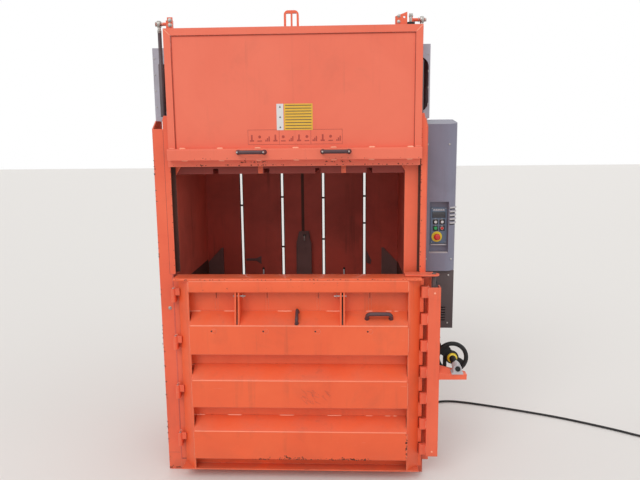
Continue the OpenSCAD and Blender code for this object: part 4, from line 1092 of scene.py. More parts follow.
@dataclass
class Gate(Assembly):
    """The lifting gate's handles, welds, plates and top fittings."""

    left: float = -585.0
    right: float = 636.0
    top: float = 2252.0
    ledge: float = 1690.0
    panel_y: float = -22.0
    bar_y: float = -60.0
    handle_xs: tuple[float, float] = (-176.5, 227.5)
    grip: float = 141.0
    reach: float = 34.0
    bend: float = 16.0
    drop: float = 18.0
    border: float = 33.0
    tacks: tuple[float, float, int] = (-511.0, 581.0, 7)
    tack_half: float = 15.0
    pad_x: float = 579.0
    plate: tuple[Span, Span] = ((-20.0, 117.0), (1775.0, 1899.0))
    rules: int = 9
    board: tuple[Span, Span] = ((-197.0, 259.0), (1707.0, 1778.0))
    signs: int = 12

    def handles(self) -> None:
        """Builds the two bow handles with their screws."""
        shape, screws = Shape(), Shape()
        length, level = self.grip - self.bend, self.ledge - self.drop
        for x in self.handle_xs:
            middle = (x, self.bar_y, level)
            shape.swept(bow(middle, length, self.reach, FORWARD, SIDEWARD, self.bend), 8.2, 16, 1.15)
            for side in (-1, 1):
                foot = x + side * length / 2
                shape.cone((foot, self.bar_y, level), Axis.FRONT, (12.5, 10.5), 9, 24, 1.5)
                screws.cone((foot, self.bar_y - self.reach + 1, level), Axis.FRONT, (5, 4), 10.6, 16, 0.8)
        shape.finish("gate_handle_bows", Body.GATE, self.paint(GRIP_BROWN), "black_plastic",
                     ("gate_handles",))
        screws.finish("gate_handle_screws", Body.GATE, self.paint(ZINC), "bare_steel")

    def welds(self) -> None:
        """Lays the tacks along the ledge and the beads in the frame's corners."""
        shape = Shape()
        for x in spaced(*self.tacks):
            for y, z in ((self.bar_y + 8, self.ledge + 1), (-16, self.ledge - 56)):
                shape.bead((x - self.tack_half, y, z), (x + self.tack_half, y, z), 5.6)
        left, right = self.left + self.border, self.right - self.border
        for x, way in ((left, -1), (right, 1)):
            shape.bead((x, -29, self.top - self.border), (x + way * 30, -29.6, self.top - 3), 2.0)
            shape.bead((x + way * 31, -30, self.ledge + 3), (x + way * 3, -30, self.ledge + 3), 2.2)
        for x in (-13, 57, 506, 562, -566, -541):
            shape.bead((x, -18, self.top + 1), (x, -6, self.top + 1), 2.6)
        # The beads' pale colour is a painted highlight.
        shape.finish("gate_welds", Body.GATE, self.paint(WELD_HIGHLIGHT), "orange_paint")

    def plates(self) -> None:
        """Puts the plain ruled plate, the white strip and the row of simple signs on the panel."""
        x, z = self.plate
        y = self.panel_y
        film, printed, thin = (y - 0.9, y), (y - 1.2, y - 0.8), (y - 0.4, y)
        ruled = Shape()
        ruled.slab(x, film, z, 0.3, segments=1)
        ruled.finish("ruled_plate", Body.GATE, self.paint(RULED_YELLOW), "yellow_plastic")
        strip = Shape()
        strip.slab((x[0] - 36, x[0] - 3), film, z, 0.3, segments=1)
        strip.finish("white_strip", Body.GATE, self.paint(WHITE_PLASTIC), "white_plastic")
        ink = Shape()
        for level in spaced(z[0] + 8, z[1] - 8, self.rules):
            ink.slab((x[0] + 6, x[1] - 6), printed, (level - 1.6, level + 1.6))
        for level in spaced(z[0] + 10, z[1] - 18, 3):
            arrow = [(x[0] - 24, level), (x[0] - 14, level), (x[0] - 19, level + 9)]
            ink.extruded(arrow, Axis.Y, printed)
        ink.finish("plate_print", Body.GATE, self.paint(PRINT_BLACK), "black_plastic")
        signs = Shape()
        x, z = self.board
        for a, b, c, d in ((x[0], x[1], z[0], z[0] + 1.6), (x[0], x[1], z[1] - 1.6, z[1]),
                           (x[0], x[0] + 1.6, z[0], z[1]), (x[1] - 1.6, x[1], z[0], z[1])):
            signs.slab((a, b), thin, (c, d))
        for line in spaced(x[0], x[1], 4)[1:-1]:
            signs.slab((line - 0.8, line + 0.8), thin, z)
        for i, middle in enumerate(spaced(x[0] + 19, x[1] - 19, self.signs)):
            self.sign(signs, middle, i)
        signs.finish("sign_row", Body.GATE, self.paint(PRINT_RED), "orange_paint")

    def sign(self, shape: Shape, x: float, kind: int) -> None:
        """Draws one simple sign: a bar, a dot or some steps.

        Args:
            shape: the mesh that it goes into.
            x: its middle.
            kind: which of the simple fillings it has.
        """
        y, low, high = self.panel_y, 1714.0, 1762.0
        if kind % 3 == 0:
            shape.slab((x - 10, x + 10), (y - 0.4, y), (low + 8, low + 15))
            shape.slab((x - 4, x + 4), (y - 0.4, y), (low + 15, high - 8))
        elif kind % 3 == 1:
            shape.cone((x, y, (low + high) / 2 + 6), Axis.FRONT, (7, 7), 0.4, 20)
            shape.slab((x - 11, x + 11), (y - 0.4, y), (low + 8, low + 13))
        else:
            for step in range(3):
                shape.slab((x - 11 + step * 8, x - 5 + step * 8), (y - 0.4, y),
                           (low + 8, low + 16 + step * 8))

    def fittings(self) -> None:
        """Puts the bolts, the silver eyes and the black pad on the top edge."""
        bright = Shape()
        for z in (16, 38):
            bright.bolt((self.left + 32, -16, self.top + z), Axis.FRONT, 13, 20)
        for z in (14, 40):
            bright.bolt((self.right - 114, -16, self.top + z), Axis.FRONT, 10, 16)
        bright.cone((self.pad_x, -12, self.top + 12), Axis.Z, (6, 6), 30, 20, 0.8)
        bright.bolt((self.pad_x, -12, self.top + 38), Axis.Z, 17, 22)
        bright.finish("gate_bright_fittings", Body.GATE, self.paint(ZINC), "bare_steel")
        dark = Shape()
        dark.slab((self.pad_x - 17, self.pad_x + 18), (-22, -3), (self.top, self.top + 12), 2)
        dark.slab((20, 26), (-19, -5), (self.top + 1, self.top + 66), 1.5)
        dark.finish("gate_dark_fittings", Body.GATE, self.paint(CAST_BLACK), "cast_black")

    def panel_shadow_lines(self) -> None:
        """Runs dark strips along the panel's edges, a painted shadow where the frame steps down to the panel.
        """
        shape = Shape()
        low, high = self.ledge + 1, self.top - self.border
        left, right = self.left + self.border, self.right - self.border
        depth = (self.panel_y - 2.5, self.panel_y)
        shape.slab((left, right), depth, (high - 4.5, high + 0.2), 1)
        shape.slab((left - 0.2, left + 5), depth, (low, high), 1)
        shape.slab((right - 3, right + 0.2), depth, (low, high), 1)
        shape.finish("panel_painted_shadow", Body.GATE, self.paint(SEAM_SHADE), "orange_paint")

    def build(self) -> None:
        """Builds everything on the gate."""
        self.handles()
        self.welds()
        self.panel_shadow_lines()
        self.plates()
        self.fittings()


@dataclass
class Door(Assembly):
    """The front door's top rail, strap plates, handle, welds, painted fold highlights and pins."""

    rib_fronts: tuple[Span, ...] = ((682.0, 830.0), (405.0, 547.0), (125.0, 277.0))
    slope: float = 56.0
    skin_y: float = -40.0
    rib_y: float = -120.0
    inner: tuple[float, float] = (-500.5, 576.5)
    slope_turn: float = 35.0
    handle_at: Point = (435.0, -80.0, 857.0)
    handle_length: float = 118.0
    hook_at: Point = (31.0, -78.0, 858.0)
    hook_length: float = 72.0
    guides: tuple[float, float] = (-262.0, 256.0)
    dashes: tuple[Span, ...] = ((-520.0, -455.0), (-340.0, -265.0), (-70.0, 5.0), (175.0, 250.0),
                                (372.0, 408.0), (470.0, 500.0), (512.0, 534.0))

    def handle(self) -> None:
        """Builds the door's bow handle on the upper slope."""
        shape = Shape()
        tilt = math.radians(self.slope_turn)
        out = Vector((0, -math.sin(tilt), math.cos(tilt)))
        face = Vector((0, -math.cos(tilt), -math.sin(tilt)))
        low = Vector(self.handle_at) + face * 2
        shape.swept(bow(tuple(low), self.handle_length, 36, out, SIDEWARD, 20), 9.2, 16, 1.15)
        for side in (-1, 1):
            foot = low + SIDEWARD * (side * self.handle_length / 2)
            shape.cone(tuple(foot), out, (12.5, 10.5), 7, 24, 1.5)
        shape.finish("door_handle_bow", Body.DOOR, self.paint(GRIP_BROWN), "black_plastic", ("door_handle",))
        hook = Shape()
        seat = Vector(self.hook_at)
        hook.swept(bow(self.hook_at, self.hook_length, 26, out, face, 14), 7.5, 14, 1.1)
        for side in (-1, 1):
            foot = seat + face * (side * self.hook_length / 2)
            hook.cone(tuple(foot), out, (11, 9), 8, 20, 1.2)
        hook.finish("cleat_hook", Body.DOOR, self.paint(GRIP_BROWN), "black_plastic")

    def welds(self) -> None:
        """Lays the dashes over the slopes, the posts' seams and the rail's tacks."""
        shape = Shape()
        for low, high in self.rib_fronts:
            for a, b in self.dashes:
                shape.bead((a, self.skin_y - 2, high + self.slope - 3),
                           (b, self.skin_y - 2, high + self.slope - 3), 3.0)
                shape.bead((a + 40, self.skin_y - 1, low - 3), (b + 30, self.skin_y - 1, low - 3), 2.6)
            for x in self.inner:
                shape.bead((x, self.rib_y + 8, low + 10), (x, self.rib_y + 8, high - 10), 2.4)
        for x in (-500.0, 576.0):
            shape.bead((x, -101, 998), (x, -101, 1049), 2.4)
        for x in spaced(-480.0, 480.0, 6):
            shape.bead((x - 22, self.skin_y - 2, 991), (x + 22, self.skin_y - 2, 991), 2.8)
        # The beads' pale colour is a painted highlight.
        shape.finish("door_welds", Body.DOOR, self.paint(WELD_HIGHLIGHT), "orange_paint")

    def folds(self) -> None:
        """Rounds the ribs' and the rail's upper folds with pale beads, a painted highlight where the folds
        catch the light.
        """
        shape = Shape()
        low, high = self.inner[0] + 5, self.inner[1] - 5
        for _, top in self.rib_fronts:
            shape.cone((low, self.rib_y + 1.6, top - 1), Axis.X, (3, 3), high - low, 16, 0.8)
        shape.cone((low, -102.4, 1049.6), Axis.X, (2.4, 2.4), high - low, 16, 0.8)
        shape.finish("door_fold_highlights", Body.DOOR, self.paint(FOLD_HIGHLIGHT), "orange_paint")

    def pins(self) -> None:
        """Puts the bright pins and their bows through the strap guides."""
        shape = Shape()
        for x, way in zip(self.guides, (1, -1)):
            shape.cone((x - way * 17, -86, 972), (way, 0, 0), (3.2, 3.2), 58, 16, 0.6)
            shape.cone((x - way * 19, -86, 972), (way, 0, 0), (5.6, 5.6), 2.6, 16, 0.5)
            shape.swept(bow((x + way * 30, -88, 972), 14, 10, FORWARD, UPWARD, 6), 1.6, 8)
        shape.finish("door_pins", Body.DOOR, self.paint(ZINC), "bare_steel")

    def rail(self) -> None:
        """Builds the top rail: its rounded lip and its face between the posts."""
        shape = Shape()
        shape.extruded([(-4, 1050), (-104, 1050), (-106, 1053), (-106, 1059), (-102, 1063.4), (-96, 1064),
                        (-4, 1064)], Axis.X, (-574, 640), 1.2)
        shape.extruded([(-98, 1052), (-104, 1052), (-104, 997), (-102.4, 993.6), (-99, 992.4), (-92, 992),
                        (-92, 998), (-98, 998)], Axis.X, (-500, 576), 0.8)
        shape.finish("door_rail", Body.DOOR, self.paint(DOOR_ORANGE), "orange_paint", ("door_top_rail",))

    def strap_plates(self) -> None:
        """Builds the strap ends' twin plates with dark strips between them as painted shadow in the gaps,
        closes the channels and holes, and puts small dark disks as painted shade where the holes show.
        """
        shape, gap_shadow, hole_shades = Shape(), Shape(), Shape()
        outline = [(-40, 884), (-40, 1052), (-96, 1052), (-97, 990), (-118, 834), (-118, 830)]
        inner = [(-41, 887), (-41, 1048), (-56, 1048), (-60, 960), (-108, 848), (-114, 834)]
        for x in self.guides:
            for side in (-8, 8):
                shape.extruded(outline, Axis.X, (x + side - 4.4, x + side + 4.4), 1.2)
            gap_shadow.extruded(inner, Axis.X, (x - 3.5, x + 3.5))
        for x in (-376.0, -120.0, 136.0, 392.0):
            shape.slab((x - 7, x + 7), (self.skin_y, self.skin_y + 5), (883, 950), 0.4, segments=1)
            for side in (-1, 1):
                a, b = sorted((x + side * 1.4, x + side * 7))
                shape.slab((a, b), (self.skin_y, self.skin_y + 5), (950, 990), 0.4, segments=1)
            shape.cone((x, self.rib_y + 5, 802), Axis.FRONT, (12, 12), 5.1, 32, 0.5)
            hole_shades.cone((x - 13, self.rib_y + 0.6, 802), Axis.FRONT, (4.2, 4.2), 1.1, 16)
        shape.finish("strap_plates", Body.DOOR, self.paint(DOOR_ORANGE), "orange_paint", ("strap_guides",))
        gap_shadow.finish("strap_gaps", Body.DOOR, self.paint(GROOVE_BLACK), "cast_black")
        hole_shades.finish("rib_hole_shade", Body.DOOR, self.paint(GROOVE_BLACK), "cast_black")

    def build(self) -> None:
        """Builds everything on the door."""
        self.rail()
        self.strap_plates()
        self.handle()
        self.welds()
        self.folds()
        self.pins()


@dataclass
class Lock(Assembly):
    """The lock bar's weld beads and rod fittings."""

    claw_x: Span = (643.0, 676.0)
    first: float = 133.0
    pitch: float = 137.5
    count: int = 7
    height: float = 55.0
    bar_x: float = 706.0
    bar_front: float = -85.0
    spots: tuple[float, float] = (158.0, 985.0)
    rod: Point = (705.5, -45.0, 128.0)
    rod_radius: float = 10.0
    rod_length: float = 950.0

    def build(self) -> None:
        """Lays the beads round each claw's root and the spots at the bar's ends."""
        shape = Shape()
        x = self.claw_x[1] + 0.5
        for i in range(self.count):
            low = self.first + i * self.pitch
            for z in (low, low + self.height):
                shape.bead((x, -68, z), (x, -50, z), 2.4)
            shape.bead((x, -70, low + 6), (x, -70, low + self.height - 6), 2.6)
            shape.bead((x, -48, low + 6), (x, -48, low + self.height - 6), 2.6)
        for z in self.spots:
            for y in (-72.0, -40.0):
                shape.cone((self.bar_x, y, z), Axis.FRONT, (3, 3), 2, 10)
            shape.cone((self.bar_x, self.bar_front + 0.6, z), Axis.FRONT, (5.4, 4.2), 2.0, 16, 0.8)
        # The beads' and spots' pale colour is a painted highlight.
        shape.finish("lock_welds", Body.LOCK, self.paint(WELD_HIGHLIGHT), "orange_paint")
        # The bare steel rod is dark grey, a painted shade for the shadow between the plate and the lock bar.
        rod = Shape()
        rod.cone(self.rod, Axis.Z, (self.rod_radius, self.rod_radius), self.rod_length, 32, 1.2)
        rod.finish("lock_rod_bar", Body.FRAME, self.paint(LOWER_GREY), "bare_steel", ("lock_rod",))


@dataclass
class Wheel(Assembly):
    """The handwheel's rim, spokes and domed yellow cap."""

    x: float = 820.0
    y: float = 50.5
    z: float = 612.0
    radius: float = 84.0
    rim: float = 22.0
    hub: float = 34.0
    shaft: float = 24.0
    spokes: tuple[float, ...] = (135.0, 315.0)
    spoke_from: float = 24.0
    spoke_half: Span = (46.0, 24.0)
    spoke_thick: float = 7.2
    dish: float = 4.0

    def fan(self, shape: Shape, turn: float) -> None:
        """Adds one dished spoke that widens towards the rim.

        Args:
            shape: the mesh that it goes into.
            turn: where it points, in degrees from +X towards +Z.
        """
        steps, rings = 10, 5
        rim_mid = self.radius - self.rim / 2
        wide, narrow = self.spoke_half
        grid = []
        for side in (-1, 1):
            for i in range(rings):
                part = i / (rings - 1)
                r = self.spoke_from + (rim_mid - self.spoke_from) * part
                half = wide - (wide - narrow) * part
                y = self.y + side * self.spoke_thick / 2 + self.dish * math.sin(part * math.pi)
                row = []
                for j in range(steps + 1):
                    a = math.radians(turn + half * (2 * j / steps - 1))
                    row.append(shape.bm.verts.new((self.x + r * math.cos(a), y, self.z + r * math.sin(a))))
                grid.append(row)
        made = []
        front, back = grid[:rings], grid[rings:]
        for rows, flip in ((front, False), (back, True)):
            for a, b in zip(rows, rows[1:]):
                for j in range(steps):
                    corners = [a[j], a[j + 1], b[j + 1], b[j]]
                    made.append(shape.bm.faces.new(corners[::-1] if flip else corners))
        for i in range(rings - 1):
            for j in (0, steps):
                corners = [front[i][j], front[i + 1][j], back[i + 1][j], back[i][j]]
                made.append(shape.bm.faces.new(corners if j else corners[::-1]))
        for j in range(steps):
            made.append(shape.bm.faces.new([front[0][j + 1], front[0][j], back[0][j], back[0][j + 1]]))
            made.append(shape.bm.faces.new([front[-1][j], front[-1][j + 1], back[-1][j + 1], back[-1][j]]))
        bmesh.ops.recalc_face_normals(shape.bm, faces=made)

    def build(self) -> None:
        """Builds the wheel and its cap."""
        wheel = Shape()
        rim_mid = self.radius - self.rim / 2
        outline = [(rim_mid + self.rim / 2 * math.cos(a), self.rim / 2 * math.sin(a))
                   for a in (math.tau * i / 20 for i in range(20))]
        wheel.turned((self.x, self.y, self.z), Axis.FRONT, outline, 72)
        for turn in self.spokes:
            self.fan(wheel, turn)
        hole = self.shaft / 2 + 0.1
        wheel.turned((self.x, self.y, self.z), Axis.FRONT,
                     [(hole, -9), (self.hub - 4, -9), (self.hub, -6), (self.hub, 5), (self.hub - 2, 8),
                      (self.hub - 4, 9), (hole, 9)], 48)
        wheel.finish("handwheel_casting", Body.WHEEL, self.paint(CAST_BLACK), "cast_black",
                     ("handwheel",), 42)
        cap = Shape()
        face = self.y - 9.5
        cap.turned((self.x, face, self.z), Axis.FRONT,
                   [(hole, 0), (26, 0), (26, 1.5), (25.2, 4), (23, 7.2), (19.5, 9.8), (15.5, 11.2),
                    (hole + 1, 11.8), (hole, 11.8)], 48)
        cap.finish("handwheel_cap", Body.WHEEL, self.paint(YELLOW_PLASTIC), "yellow_plastic",
                   ("wheel_cap",), 50)
        collar = Shape()
        collar.turned((self.x, -66, self.z), Axis.FRONT,
                      [(17.2, -10), (19.6, -10), (20.4, -9), (20.4, -2), (19.6, -1), (17.2, -1)], 36)
        collar.bolt((self.x, -56.6, self.z + 19.2), Axis.Z, 6)
        collar.finish("shaft_collar", Body.WHEEL, self.paint(BARE_STEEL), "bare_steel")


@dataclass
class Panel(Assembly):
    """The control panel's bezel, display, buttons, emergency stop and recess ledges."""

    x: Span = (717.0, 798.0)
    z: Span = (1189.0, 1377.0)
    face: float = 179.0
    stop: Span = (748.0, 1224.0)
    buttons: tuple[Span, ...] = ((741.0, 1301.0), (775.0, 1301.0), (741.0, 1268.0), (775.0, 1268.0))
    window: tuple[Span, Span] = ((724.0, 791.0), (1323.0, 1353.0))
    key_half: float = 14.0
    recess_x: Span = (705.0, 803.0)
    recess_z: Span = (1141.0, 1408.0)
    deep: float = 185.0

    def display(self) -> None:
        """Builds the dark window, the bezel's screws and the printed fields."""
        glass = Shape()
        half = self.key_half
        glass.slab(self.window[0], (self.face - 2.4, self.face - 1), self.window[1], 0.6)
        for x, z in self.buttons:
            glass.slab((x - half, x + half), (self.face - 0.8, self.face), (z - half, z + half), 0.3)
        glass.finish("display_window", Body.FRAME, self.paint(DARK_GLASS), "black_plastic")
        ink = Shape()
        y = self.face - 0.5
        for x, z in self.buttons:
            ink.slab((x - 4.5, x + 4.5), (y, self.face), (z + half + 0.5, z + half + 2))
        ink.slab((727, 788), (y, self.face), (1359, 1361))
        for i in range(5):
            ink.slab((729 + i * 12, 737 + i * 12), (y, self.face), (1364, 1368))
        ink.finish("panel_print", Body.FRAME, self.paint(WHITE_PLASTIC), "white_plastic")
        screws = Shape()
        for x in (self.x[0] + 5, self.x[1] - 5):
            for z in (self.z[0] + 5, self.z[1] - 5):
                screws.cone((x, self.face + 0.2, z), Axis.FRONT, (3.0, 2.6), 1.8, 18, 0.5)
        screws.finish("panel_screws", Body.FRAME, self.paint(ZINC), "bare_steel")

    def rings(self) -> None:
        """Builds the yellow stop ring and the buttons' bezels."""
        ring = Shape()
        x, z = self.stop
        ring.turned((x, self.face, z), Axis.FRONT,
                    [(9.5, 3.9), (27.4, 3.9), (27.6, 4.6), (26.4, 5.6), (14, 6.2), (9.5, 6.2)], 48)
        ring.finish("stop_ring", Body.FRAME, self.paint(YELLOW_PLASTIC), "yellow_plastic")
        bezels = Shape()
        for x, z in self.buttons:
            bezels.turned((x, self.face, z), Axis.FRONT,
                          [(9.4, 0), (12.6, 0), (12.6, 1.8), (11.6, 3), (9.4, 3)], 32)
        bezels.finish("button_bezels", Body.FRAME, self.paint(BLACK_PLASTIC), "black_plastic")

    def caps(self) -> None:
        """Builds the button tops and the mushroom head."""
        looks = ((Body.UP_KEY, "up_cap", WHITE_PLASTIC, "white_plastic"),
                 (Body.DOWN_KEY, "down_cap", WHITE_PLASTIC, "white_plastic"),
                 (Body.START_KEY, "start_cap", GREEN_PLASTIC, "green_plastic"),
                 (Body.HALT_KEY, "halt_cap", RED_PLASTIC, "red_plastic"))
        for (x, z), (body, name, finish, slot) in zip(self.buttons, looks):
            cap = Shape()
            cap.turned((x, self.face - 5.2, z), Axis.FRONT,
                       [(0, 0), (7.6, 0), (7.6, 0.5), (6.6, 1.5), (5.2, 1.2), (0, 0.8)], 28)
            cap.finish(name, body, self.paint(finish), slot)
        head = Shape()
        x, z = self.stop
        head.turned((x, self.face + 1, z), Axis.FRONT,
                    [(0, 0), (8.5, 0), (8.5, 16), (13.5, 16.4), (16, 18.2), (17, 20.5), (16.6, 23),
                     (14.6, 25.6), (11, 27.6), (6, 28.7), (0, 29)], 48)
        head.finish("stop_mushroom", Body.STOP, self.paint(RED_PLASTIC), "red_plastic",
                    ("emergency_stop",), 50)

    def recess(self) -> None:
        """Builds the folded ledges in the recess, pale as a painted highlight on their rounded edges."""
        ledge = Shape()
        x, low = self.recess_x, self.recess_z[0]
        ledge.slab((x[0] + 0.5, x[1] - 0.5), (150.5, self.deep - 0.5), (low, low + 5), 1.4)
        ledge.slab((self.x[0], self.x[1]), (168, self.deep - 0.5), (low + 38, low + 44), 1.4)
        ledge.finish("recess_ledge_highlight", Body.FRAME, self.paint(PALE_GREY), "grey_paint")
        ink = Shape()
        for low, high in ((1301, 1309), (1268, 1276)):
            ink.slab((779, 785), (self.face - 1.4, self.face - 0.7), (low - 8, high))
            ink.slab((745, 750), (self.face - 1.4, self.face - 0.7), (low - 3, high - 4))
        ink.finish("button_marks", Body.FRAME, self.paint(WHITE_PLASTIC), "white_plastic")

    def build(self) -> None:
        """Builds everything on the panel."""
        self.display()
        self.rings()
        self.caps()
        self.recess()


@dataclass
class Columns(Assembly):
    """The front columns' seams, jamb strip, bolts and hinge welds."""

    outer: float = 670.0
    seam_x: float = -617.0
    rail: float = 1064.0
    top: float = 1787.0
    hinges: tuple[float, ...] = (188.0, 450.0, 713.0, 962.0)
    hinge_x: float = -595.0

    def seams(self) -> None:
        """Draws the filled seams between the columns' plates."""
        shape = Shape()
        shape.slab((self.seam_x - 1, self.seam_x + 1), (-0.5, 0.5), (self.rail, self.top - 6))
        shape.slab((self.seam_x, self.seam_x + 28), (-0.5, 0.5), (self.rail - 1.2, self.rail + 0.8))
        for side in (-1, 1):
            a, b = sorted((side * (self.outer - 3), side * 608))
            shape.slab((a, b), (-0.4, 0.5), (95.2, 96.8))
            shape.slab((side * 669.6 - 0.8, side * 669.6 + 0.8), (28, 30), (40, self.top - 8))
        shape.finish("column_seams", Body.FRAME, self.paint(SEAM_SHADE), "orange_paint")

    def jambs(self) -> None:
        """Builds the strip behind the hinges and the plate behind the lock bar."""
        shape = Shape()
        shape.slab((-608, -568), (0.6, 5.6), (60, 1046), 0.4, segments=1)
        shape.slab((664, 700), (0.6, 6), (70, 1048), 1.0, segments=1)
        shape.finish("door_jambs", Body.FRAME, self.paint(ORANGE), "orange_paint")

    def fasteners(self) -> None:
        """Puts the bolts in the columns."""
        shape = Shape()
        shape.bolt((-625, 0, 887), Axis.FRONT, 10, 18)
        shape.finish("column_bolts", Body.FRAME, self.paint(ZINC), "bare_steel")

    def hinge_welds(self) -> None:
        """Lays a bead round the root of each hinge lug."""
        shape = Shape()
        for z in self.hinges:
            path = []
            for i in range(9):
                turn = math.radians(60 + 30 * i)
                path.append((self.hinge_x - 3 + 14 * math.cos(turn), -1, z - 2 + 38 * math.sin(turn)))
            for a, b in zip(path, path[1:]):
                shape.bead(a, b, 2.6, 4)
        # The beads' pale colour is a painted highlight.
        shape.finish("hinge_welds", Body.FRAME, self.paint(WELD_HIGHLIGHT), "orange_paint")

    def build(self) -> None:
        """Builds everything on the columns."""
        self.seams()
        self.jambs()
        self.fasteners()
        self.hinge_welds()


@dataclass
class Chamber(Assembly):
    """The press chamber's slot edges, pins, corner braces and the press plate's lugs."""

    back: float = 800.0
    slots: tuple[float, ...] = (-376.0, -120.0, 136.0, 392.0)
    pins: tuple[float, ...] = (-248.0, 264.0)
    ties: tuple[tuple[float, float], ...] = ((-120.0, 1381.0), (-120.0, 1066.0), (136.0, 1375.0),
                                             (136.0, 1114.0), (392.0, 1384.0), (392.0, 1215.0),
                                             (-376.0, 1330.0))

    def slot_edges(self) -> None:
        """Builds the dark strips along the strap slots' edges and the scraps caught in them."""
        shape, scraps = Shape(), Shape()
        for x in self.slots:
            for side in (-1, 1):
                a, b = sorted((x + side * 6.4, x + side * 11.5))
                shape.slab((a, b), (self.back - 0.7, self.back + 0.4), (640, 1536), 0.3, segments=1)
        for x, z in self.ties:
            scraps.slab((x - 6.9, x + 6.9), (self.back + 1, self.back + 4), (z - 6, z + 5), 1)
        shape.finish("slot_edges", Body.FRAME, self.paint(RUST), "orange_paint")
        scraps.finish("slot_scraps", Body.FRAME, self.paint(GROOVE_BLACK), "cast_black")

    def back_fittings(self) -> None:
        """Builds the strip and the small hooks on the back wall, and the dark patches on the side walls."""
        hooks, strip, marks = Shape(), Shape(), Shape()
        thick = (self.back - 2.4, self.back - 0.2)
        hooks.extruded([(-357, 975), (-294, 975), (-261, 953), (-261, 1007), (-294, 991), (-357, 991)],
                       Axis.Y, thick, 0.6)
        hooks.extruded([(405, 1042), (437, 978), (432, 952), (405, 962)], Axis.Y, thick, 0.6)
        hooks.finish("back_hooks", Body.FRAME, self.paint(DIRTY_STEEL), "cast_black")
        strip.slab((-2, 16), thick, (700, 1548), 0.5, segments=1)
        strip.finish("back_strip", Body.FRAME, self.paint(RUST), "orange_paint")
        marks.slab((-599.9, -599.4), (314, 784), (700, 988), 0.1, segments=1)
        marks.slab((599.4, 599.9), (452, 784), (700, 974), 0.1, segments=1)
        marks.finish("side_dark_patches", Body.FRAME, self.paint(RUST), "orange_paint")

    def hook_plate(self) -> None:
        """Builds the ejector's wide hook plate and the shackle that hangs from its hole."""
        plate, shackle = Shape(), Shape()
        plate.extruded([(-40, 640), (56, 640), (56, 1092), (46, 1166), (-16, 1166), (-35, 1092)], Axis.Y,
                       (781.6, 784.8), 0.8)
        plate.finish("hook_plate", Body.EJECTOR, self.paint(DIRTY_STEEL), "cast_black")
        shackle.swept(bow((15, 780, 1124), 34, 9, FORWARD, UPWARD, 10), 4, 14)
        shackle.cone((15, 781.8, 1084), Axis.FRONT, (4, 3), 1.6, 16)
        shackle.finish("shackle_bow", Body.EJECTOR, self.paint(ZINC), "bare_steel", ("shackle",))

    def white_pins(self) -> None:
        """Builds the two pale pins with black tips on the back wall."""
        pale, tips = Shape(), Shape()
        for x in self.pins:
            pale.cone((x, self.back - 5.5, 860), Axis.Z, (5.5, 5.5), 62, 20, 0.8)
            tips.turned((x, self.back - 5.5, 921), Axis.Z, [(0, 0), (6.2, 0), (6.2, 6), (4, 11), (0, 12)], 20)
        pale.finish("back_pins", Body.FRAME, self.paint(WHITE_PLASTIC), "white_plastic")
        tips.finish("back_pin_tips", Body.FRAME, self.paint(BLACK_PLASTIC), "black_plastic")

    def braces(self) -> None:
        """Builds the small corner braces over the opening."""
        shape = Shape()
        for side in (-1, 1):
            shape.extruded([(side * 580, 1560), (side * 580, 1650), (side * 520, 1650), (side * 574, 1560)],
                           Axis.Y, (46.4, 51), 0.8)
        shape.finish("corner_braces", Body.FRAME, self.paint(ORANGE), "orange_paint")

    def grooves_dark(self) -> None:
        """Lines the gate's grooves with a dark strip, a painted shade deep in the grooves."""
        shape = Shape()
        shape.slab((-606, -574), (38.6, 40.2), (1068, 1738), 0.4, segments=1)
        shape.slab((630, 656), (38.6, 40.2), (1068, 1738), 0.4, segments=1)
        shape.finish("groove_painted_shade", Body.FRAME, self.paint(RUST), "cast_black")

    def press_lugs(self) -> None:
        """Builds the small angle lugs on the press plate's front edge."""
        shape = Shape()
        for x in (-150.0, 264.0):
            shape.slab((x - 12, x + 12), (50.6, 55.4), (1565, 1606), 0.9)
            shape.slab((x - 12, x + 12), (51, 72), (1600, 1606), 0.9)
            shape.cone((x, 50.8, 1586), Axis.FRONT, (4, 4), 1.6, 16, 0.5)
        shape.finish("press_lugs", Body.PRESS, self.paint(ORANGE), "orange_paint")

    def build(self) -> None:
        """Builds everything in the chamber."""
        self.slot_edges()
        self.back_fittings()
        self.hook_plate()
        self.white_pins()
        self.braces()
        self.grooves_dark()
        self.press_lugs()


@dataclass
class Struts(Assembly):
    """The balance struts: a wide tube below a thin stem, and a small bright eye."""

    xs: tuple[float, float] = (-631.0, 640.0)
    y: float = 75.0
    low: float = 1848.0
    neck: float = 2105.0
    eye: float = 2290.0
    tube: float = 14.0
    bore: float = 8.0

    def build(self) -> None:
        """Builds both struts."""
        tubes, eyes = Shape(), Shape()
        for x in self.xs:
            tubes.turned((x, self.y, 0), Axis.Z,
                         [(self.bore, self.low), (self.tube - 0.8, self.low), (self.tube, self.low + 1),
                          (self.tube, self.neck - 6), (self.tube - 4, self.neck), (9.4, self.neck + 1),
                          (9.4, self.eye - 30), (self.bore, self.eye - 30)], 32)
            eyes.turned((x, self.y, self.eye), Axis.X,
                        [(8.2, -9), (15, -9), (16.4, -7), (16.4, 7), (15, 9), (8.2, 9)], 32)
            eyes.cone((x, self.y, self.eye - 42), Axis.Z, (10.6, 10.6), 14, 6, 1)
            eyes.cone((x, self.y, self.eye - 28.4), Axis.Z, (8.6, 7.4), 14, 20, 0.6)
            eyes.cone((x - 15, self.y, self.eye), (-1, 0, 0), (11.4, 11.4), 2.4, 24, 0.5)
            eyes.bolt((x + 11, self.y, self.eye), Axis.X, 15, 20)
        tubes.finish("strut_bodies", Body.GATE, self.paint(STRUT_GREY), "cast_black", ("strut_tubes",))
        eyes.finish("strut_eyes", Body.GATE, self.paint(ZINC), "bare_steel")


